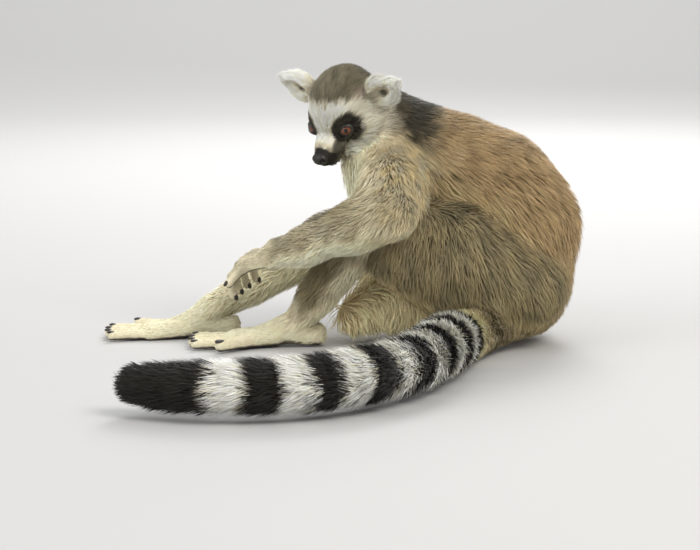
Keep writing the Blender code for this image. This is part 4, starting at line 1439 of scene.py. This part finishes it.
def add_bump(nodes, links, shader, scale, strength, distance):
    """A fine grain on the surface; returns its noise node."""
    place = nodes.new("ShaderNodeTexCoord")
    noise = nodes.new("ShaderNodeTexNoise")
    noise.inputs["Scale"].default_value = scale
    noise.inputs["Detail"].default_value = 5
    bump = nodes.new("ShaderNodeBump")
    bump.inputs["Strength"].default_value = strength
    bump.inputs["Distance"].default_value = distance
    links.new(place.outputs["Object"], noise.inputs["Vector"])
    links.new(noise.outputs["Fac"], bump.inputs["Height"])
    links.new(bump.outputs["Normal"], shader.inputs["Normal"])
    return noise


def read_attribute(nodes, name):
    node = nodes.new("ShaderNodeAttribute")
    node.attribute_name = name
    return node


def coat_material():
    material, nodes, links, shader = new_material("coat", 0.62, 0.25)
    links.new(read_attribute(nodes, "coat").outputs["Color"], shader.inputs["Base Color"])
    shader.inputs["Sheen Weight"].default_value = 0.12
    shader.inputs["Sheen Roughness"].default_value = 0.5
    return material


def skin_material():
    """The coat's colour at its roots, mottled finely."""
    material, nodes, links, shader = new_material("skin", 0.7, 0.25)
    noise = add_bump(nodes, links, shader, 1300, 0.35, 0.0004)
    ramp = nodes.new("ShaderNodeMapRange")
    ramp.inputs["To Min"].default_value = 0.72
    ramp.inputs["To Max"].default_value = 1.18
    scale = nodes.new("ShaderNodeVectorMath")
    scale.operation = "SCALE"
    links.new(noise.outputs["Fac"], ramp.inputs["Value"])
    links.new(read_attribute(nodes, "coat").outputs["Color"], scale.inputs[0])
    links.new(ramp.outputs["Result"], scale.inputs["Scale"])
    links.new(scale.outputs["Vector"], shader.inputs["Base Color"])
    return material


def grained_material(name, colour, roughness, *grain):
    """One plain dark colour with a grain: its scale, strength and height in metres."""
    material, nodes, links, shader = new_material(name, roughness, 0.5)
    shader.inputs["Base Color"].default_value = (*colour, 1)
    add_bump(nodes, links, shader, *grain)
    return material


def bare_material():
    return grained_material("bare", BLACK * 0.9, 0.42, 1600, 0.55, 0.0004)


def nail_material():
    return grained_material("nail", rgb(46, 40, 34), 0.3, 700, 0.15, 0.0003)


# ------------------------------------------------------------------ eyes, lids, nose and nails

IRIS_RADIUS = 5.7
PUPIL_RADIUS = 1.7
CORNEA_LIFT = 0.5
RING_SCALE = 10.0         # mm from the gaze that count as 1 in the eye's rings
SCLERA_RING = 0.8         # ring of the whole back of the eye
FIBRE_SHIFT = 0.10        # how far the iris's fibres move its rings, about half of it each way
EYE_INSET = 0.15          # mm that the eyeball's radius is smaller than its solid's


def eye_material(side):
    """Rings round the gaze: pupil, fibred iris, dark rim and brown white."""
    material, nodes, links, shader = new_material(f"eye_{side}", 0.08, 0.3)
    shader.inputs["Coat Weight"].default_value = 0.7
    shader.inputs["Coat Roughness"].default_value = 0.02
    noise = nodes.new("ShaderNodeTexNoise")
    noise.inputs["Scale"].default_value = 9
    noise.inputs["Detail"].default_value = 3
    links.new(read_attribute(nodes, "spoke").outputs["Vector"], noise.inputs["Vector"])
    shift = nodes.new("ShaderNodeMath")
    shift.operation = "MULTIPLY_ADD"
    shift.inputs[1].default_value = FIBRE_SHIFT
    links.new(noise.outputs["Fac"], shift.inputs[0])
    links.new(read_attribute(nodes, "ring").outputs["Fac"], shift.inputs[2])
    ramp = nodes.new("ShaderNodeValToRGB")
    links.new(shift.outputs["Value"], ramp.inputs["Fac"])
    pupil = PUPIL_RADIUS / RING_SCALE + FIBRE_SHIFT / 2
    iris = IRIS_RADIUS / RING_SCALE + FIBRE_SHIFT / 2
    colours = [
        (0.0, (0.002, 0.002, 0.002)),
        (pupil - 0.012, (0.002, 0.002, 0.002)),
        (pupil + 0.012, rgb(58, 26, 10)),
        (pupil + 0.07, rgb(116, 58, 20)),
        (iris - 0.10, rgb(98, 46, 17)),
        (iris - 0.02, rgb(70, 36, 20)),
        (iris + 0.02, rgb(30, 20, 14)),
        (SCLERA_RING, rgb(44, 32, 24)),
    ]
    stops = ramp.color_ramp.elements
    while len(stops) < len(colours):
        stops.new(0.5)
    for stop, (at, colour) in zip(stops, colours):
        stop.position = at
        stop.color = (*colour, 1)
    links.new(ramp.outputs["Color"], shader.inputs["Base Color"])
    return material


def build_eye(side, name):
    """An eyeball of rings round its gaze, with a low cornea."""
    centre, gaze, inward, upward = look_axes(side)
    axes = np.stack([inward, upward, gaze], axis=1)
    rows, columns = 40, 48
    vertices, faces = [(0, 0, 1)], []
    for i in range(1, rows):
        tilt = math.pi * i / rows
        for j in range(columns):
            turn = 2 * math.pi * j / columns
            vertices.append((math.sin(tilt) * math.cos(turn), math.sin(tilt) * math.sin(turn),
                             math.cos(tilt)))
    vertices.append((0, 0, -1))
    last = len(vertices) - 1
    base = 1 + (rows - 2) * columns
    for j in range(columns):
        after = (j + 1) % columns
        faces.append((0, 1 + j, 1 + after))
        for i in range(rows - 2):
            a, b = 1 + i * columns, 1 + (i + 1) * columns
            faces.append((a + j, b + j, b + after, a + after))
        faces.append((base + j, last, base + after))
    vertices = np.array(vertices)
    flat = np.hypot(vertices[:, 0], vertices[:, 1]) * EYE_RADIUS
    front = vertices[:, 2] > 0
    cornea = np.where(front, smoothstep(IRIS_RADIUS + 0.4, 0.5, flat), 0) * CORNEA_LIFT
    shaped = vertices * (EYE_RADIUS - EYE_INSET) + np.array([0, 0, 1]) * cornea[:, None]
    placed = shaped @ axes.T + centre
    data = bpy.data.meshes.new(name)
    data.from_pydata((placed * MM).tolist(), [], faces)
    data.update()
    rings = data.attributes.new("ring", "FLOAT", "POINT")
    rings.data.foreach_set("value", np.where(front, flat / RING_SCALE, SCLERA_RING).astype(np.float32))
    spokes = data.attributes.new("spoke", "FLOAT_VECTOR", "POINT")
    turn = np.arctan2(vertices[:, 1], vertices[:, 0])
    around = np.stack([np.cos(turn), np.sin(turn), flat * 0.02], axis=1)
    spokes.data.foreach_set("vector", around.astype(np.float32).ravel())
    data.shade_smooth()
    data.materials.append(eye_material(side))
    return add_object(name, data)


def build_lids():
    """The lids' smooth black rims, thicker above, which run back under the skin over the eyeball."""
    vertices, faces = [], []
    steps = 72
    shell = EYE_RADIUS + 0.2
    inside = EYE_RADIUS - 0.9
    turn = np.linspace(0, 2 * math.pi, steps, endpoint=False)
    wide = OPENING[0] * np.cos(turn) * (1 + 0.14 * np.maximum(np.cos(turn), 0) ** 3)
    high = OPENING[1] * np.sin(turn) * (0.86 + 0.14 * np.abs(np.sin(turn)))
    thickness = 0.5 + 0.36 * np.maximum(np.sin(turn), 0)
    tilt = np.arcsin(np.hypot(wide, high) / shell)
    around = np.stack([wide, high], axis=1) / np.hypot(wide, high)[:, None]
    for side in (1, -1):
        centre, look, inward, upward = look_axes(side)
        start = len(vertices)
        for i, thick in enumerate(thickness):
            spoke = inward * around[i, 0] + upward * around[i, 1]
            # radians out from the rim and mm from the eye's centre: a round edge, then back and under
            profile = [(-1.25 * thick / shell * math.cos(a), shell + 1.1 * thick * math.sin(a))
                       for a in np.linspace(-math.pi / 2, math.pi / 2, 8)]
            profile += [(0.12, shell + 0.85 * thick), (0.3, shell + 0.35 * thick), (0.5, shell),
                        (0.62, shell - 0.3), (0.6, inside), (0.3, inside), (0.06, inside)]
            for shift, reach in profile:
                angle = tilt[i] + shift
                vertices.append(centre + reach * (look * math.cos(angle) + spoke * math.sin(angle)))
        sides = len(profile)
        for i in range(steps):
            a, b = start + i * sides, start + (i + 1) % steps * sides
            for j in range(sides):
                after = (j + 1) % sides
                faces.append((a + j, b + j, b + after, a + after))
    lids = add_mesh("lids", np.array(vertices) * MM, faces)
    lids.data.shade_smooth()
    lids.data.materials.append(bare_material())
    return lids


def nose_distance(points):
    """The nose pad along the head's axes: a soft block with two nostrils and a groove."""
    local = to_head(points) - NOSE_CENTRE
    forward, left, up = local.T
    wide = np.abs(left)
    pad = (egg_share(local, NOSE_PAD) - 1) * PAD_SCALE
    hole = np.stack([forward - 4.6, wide - 4.8, up - 0.5 - 0.3 * (wide - 4.8)], axis=1)
    pad = -smooth_union([-pad, (egg_share(hole, (3.8, 1.8, 2.1)) - 1) * 1.8], 0.4)
    slit = np.stack([forward - 2.2, wide - 7.3, up + 0.5], axis=1)
    pad = -smooth_union([-pad, (egg_share(slit, (2.4, 2.0, 0.75)) - 1) * 0.6], 0.4)
    groove = np.maximum(np.maximum(wide - 0.35, up + 1.0), 3.4 - forward)
    return -smooth_union([-pad, groove], 0.7)


def build_nose():
    pad = Egg(on_head(*NOSE_CENTRE), HEAD_AXES, NOSE_PAD, 0)
    nose = voxel_object("nose_pad", [pad], NOSE_VOXEL)
    set_positions(nose, settle(positions(nose), nose_distance, 4))
    nose.data.shade_smooth()
    nose.data.materials.append(bare_material())
    return nose


def digit_tips(shapes):
    """The last bones of a hand's or foot's digits: those thin and short ones that end a chain."""
    ends = [shape for shape, after in zip(shapes, shapes[1:] + [None])
            if after is None or np.linalg.norm(shape.centres[1] - after.centres[0]) > 0.1]
    return [shape for shape in ends if shape.flesh[1] < 5.6 and shape.length() < 11]


def build_nails():
    """A flat dark nail on the back of every fingertip and toe tip."""
    vertices, faces = [], []
    corners, triangles_of_ball = ball(2)
    for side in SIDES:
        for name, back in (("hand", HAND_BACK[side]), ("foot", (0, 0, 1))):
            for tip in digit_tips(SKIN_PIECES[f"{name}_{side}"]):
                along = unit(tip.centres[1] - tip.centres[0])
                out = unit(back - along * (back @ along))
                radius = tip.flesh[1]
                middle = tip.centres[1] + along * radius * 0.25 + out * radius * 0.78
                axes = np.stack([
                    along * radius * 0.95, np.cross(along, out) * radius * 0.72, out * radius * 0.34,
                ], axis=1)
                start = len(vertices)
                vertices += list(corners @ axes.T + middle)
                faces += [[start + i for i in face] for face in triangles_of_ball]
    nails = add_mesh("nails", np.array(vertices) * MM, faces)
    nails.data.shade_smooth()
    nails.data.materials.append(nail_material())
    return nails


# ------------------------------------------------------------------ the skin's own relief


def groove_at(offset, width):
    """A smooth groove's depth, 1 on its line."""
    return np.exp(-((offset / width) ** 2))


def relief(points, normals):
    """Folds and creases, in mm outwards: the mouth, the lids' folds, the ears' ridges."""
    forward, _, up = to_head(points).T
    lift = np.zeros(len(points))
    line = up + 16.2 + 0.22 * (forward - 12)
    mouth = groove_at(line, 0.75) * smoothstep(1, 6, forward) * smoothstep(40, 30, forward)
    lift -= MOUTH_DEPTH * mouth
    lift += 0.45 * groove_at(np.abs(line) - 1.7, 1.0) * smoothstep(3, 8, forward)
    for which in (1, -1):
        rim, ahead, high, _ = lid_rim(which, points)
        lift -= 0.5 * (groove_at(rim - 1.42, 0.10) * (ahead > 0)) * smoothstep(-1, 3, high)
        lift -= 0.3 * groove_at(rim - 1.55, 0.10) * (ahead > 0) * smoothstep(1, -3, high)
    for name in ("ear_left", "ear_right"):
        leaf = PIECES[name][0]
        run, across, out = leaf.local(points).T
        near = (np.abs(run) < 16) & (np.abs(across) < 12) & (np.abs(out) < 9)
        facing = smoothstep(0.2, 0.7, normals @ leaf.axes[:, 2])
        ridge = np.sin(run * 1.1 + 0.02 * across**2) * smoothstep(11, 5, np.abs(across))
        lift += np.where(near, facing * ridge * 0.45, 0)
    return lift


# ------------------------------------------------------------------ build

skin = build_skin()
start_points, start_normals = positions(skin), vertex_normals(skin)
set_positions(skin, start_points + start_normals * relief(start_points, start_normals)[:, None])
skin.data.shade_smooth()
fields = skin_fields(skin)
where = fields["points"], fields["normals"], fields["weights"]
fields["colour"] = markings(*where)
fields["allowed"] = hair_allowed(*where, fields["depth"])
# painted shade: under deep hair the skin is a little darker than the coat, and it is lighter where it
# shows
paint(skin.data, fields["colour"] * np.where(fields["depth"] > 4, 0.95, 1.12)[:, None])
skin.data.materials.append(skin_material())
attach(skin, "root")
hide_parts(*[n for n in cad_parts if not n.startswith(("eye_", "nose"))])

random = np.random.default_rng(7)
skin_faces = triangles(skin)
middles = fields["points"][skin_faces].mean(axis=1)
face_groups = coat_groups(middles, fields["nearest"][skin_faces[:, 0]])
fur = coat_material()
for coat_name, (_, _, coat_slot) in COATS.items():
    made = tuft_object(coat_name, *grow(coat_name, fields, skin_faces, face_groups, random))
    made.data.materials.append(fur)
    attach(made, "root")

for eye_name, eye_side in (("left", 1), ("right", -1)):
    eye = build_eye(eye_side, f"eyeball_{eye_name}")
    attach(eye, "root")
    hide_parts(f"eye_{eye_name}")
lids = build_lids()
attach(lids, "root")
nose = build_nose()
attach(nose, "root")
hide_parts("nose")
nails = build_nails()
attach(nails, "root")


# ------------------------------------------------------------------ floor, light and camera

CAMERA_TARGET = Vector((-0.132, 0.0, 0.056))
CAMERA_DISTANCE = 2.2
CAMERA_ELEVATION = math.radians(8.5)
CAMERA_LENS = 133         # mm, on a sensor 36 mm wide
FLOOR_DROP = 0.0002       # m, that the floor lies under z = 0
FLOOR_EDGE = (-6.0, 9.0)  # m, in front of the origin and to each side
SWEEP_START = 2.2
SWEEP_RADIUS = 2.4
WALL_TOP = 7.0
LIGHTS = (  # name, place, target, width in m, power in W, colour
    ("key", (0.9, -1.3, 1.7), (-0.1, 0, 0.1), 1.2, 29, (1.0, 0.97, 0.92)),
    ("fill", (-1.8, -1.0, 0.9), (-0.1, 0, 0.1), 1.4, 13, (0.97, 0.98, 1.0)),
    ("backdrop", (0, 2.3, 2.6), (0, 2.9, 0), 2.4, 42, (1, 1, 1)),
    ("rim", (0.2, 1.7, 1.3), (-0.1, 0, 0.1), 1.0, 24, (1, 1, 1)),
)
SKY = (0.97, 0.98, 1.0, 1)
SKY_STRENGTH = 0.72


def aim(obj, place, towards):
    """Puts a light or camera at a place, looking that way."""
    obj.location = place
    obj.rotation_euler = towards.to_track_quat("-Z", "Y").to_euler()


def add_floor():
    """A pale floor that sweeps up into a wall far behind."""
    profile = [(FLOOR_EDGE[0], 0.0)]
    for step in range(13):
        turn = math.pi / 2 * step / 12
        profile.append((SWEEP_START + SWEEP_RADIUS * math.sin(turn),
                        SWEEP_RADIUS * (1 - math.cos(turn))))
    profile.append((SWEEP_START + SWEEP_RADIUS, WALL_TOP))
    vertices = [(x, y, z - FLOOR_DROP) for y, z in profile for x in (-FLOOR_EDGE[1], FLOOR_EDGE[1])]
    faces = [(2 * i, 2 * i + 1, 2 * i + 3, 2 * i + 2) for i in range(len(profile) - 1)]
    floor = add_mesh("floor", vertices, faces)
    floor.data.shade_smooth()
    material, _, _, shader = new_material("floor", 0.8, 0.2)
    shader.inputs["Base Color"].default_value = (0.52, 0.515, 0.505, 1)
    floor.data.materials.append(material)


def add_light(name, place, target, size, power, colour):
    light = bpy.data.lights.new(name, "AREA")
    light.shape = "DISK"
    light.size = size
    light.energy = power
    light.color = colour
    aim(add_object(name, light), place, Vector(target) - Vector(place))


def add_camera():
    data = bpy.data.cameras.new("camera")
    data.lens = CAMERA_LENS
    data.sensor_width = 36
    camera = add_object("camera", data)
    back = Vector((0, -math.cos(CAMERA_ELEVATION), math.sin(CAMERA_ELEVATION)))
    aim(camera, CAMERA_TARGET + back * CAMERA_DISTANCE, -back)
    bpy.context.scene.camera = camera


add_floor()
for light_row in LIGHTS:
    add_light(*light_row)
world = bpy.data.worlds.new("studio")
bpy.context.scene.world = world
world.use_nodes = True
sky = world.node_tree.nodes["Background"]
sky.inputs["Color"].default_value = SKY
sky.inputs["Strength"].default_value = SKY_STRENGTH
bpy.context.scene.view_settings.view_transform = "Standard"
add_camera()
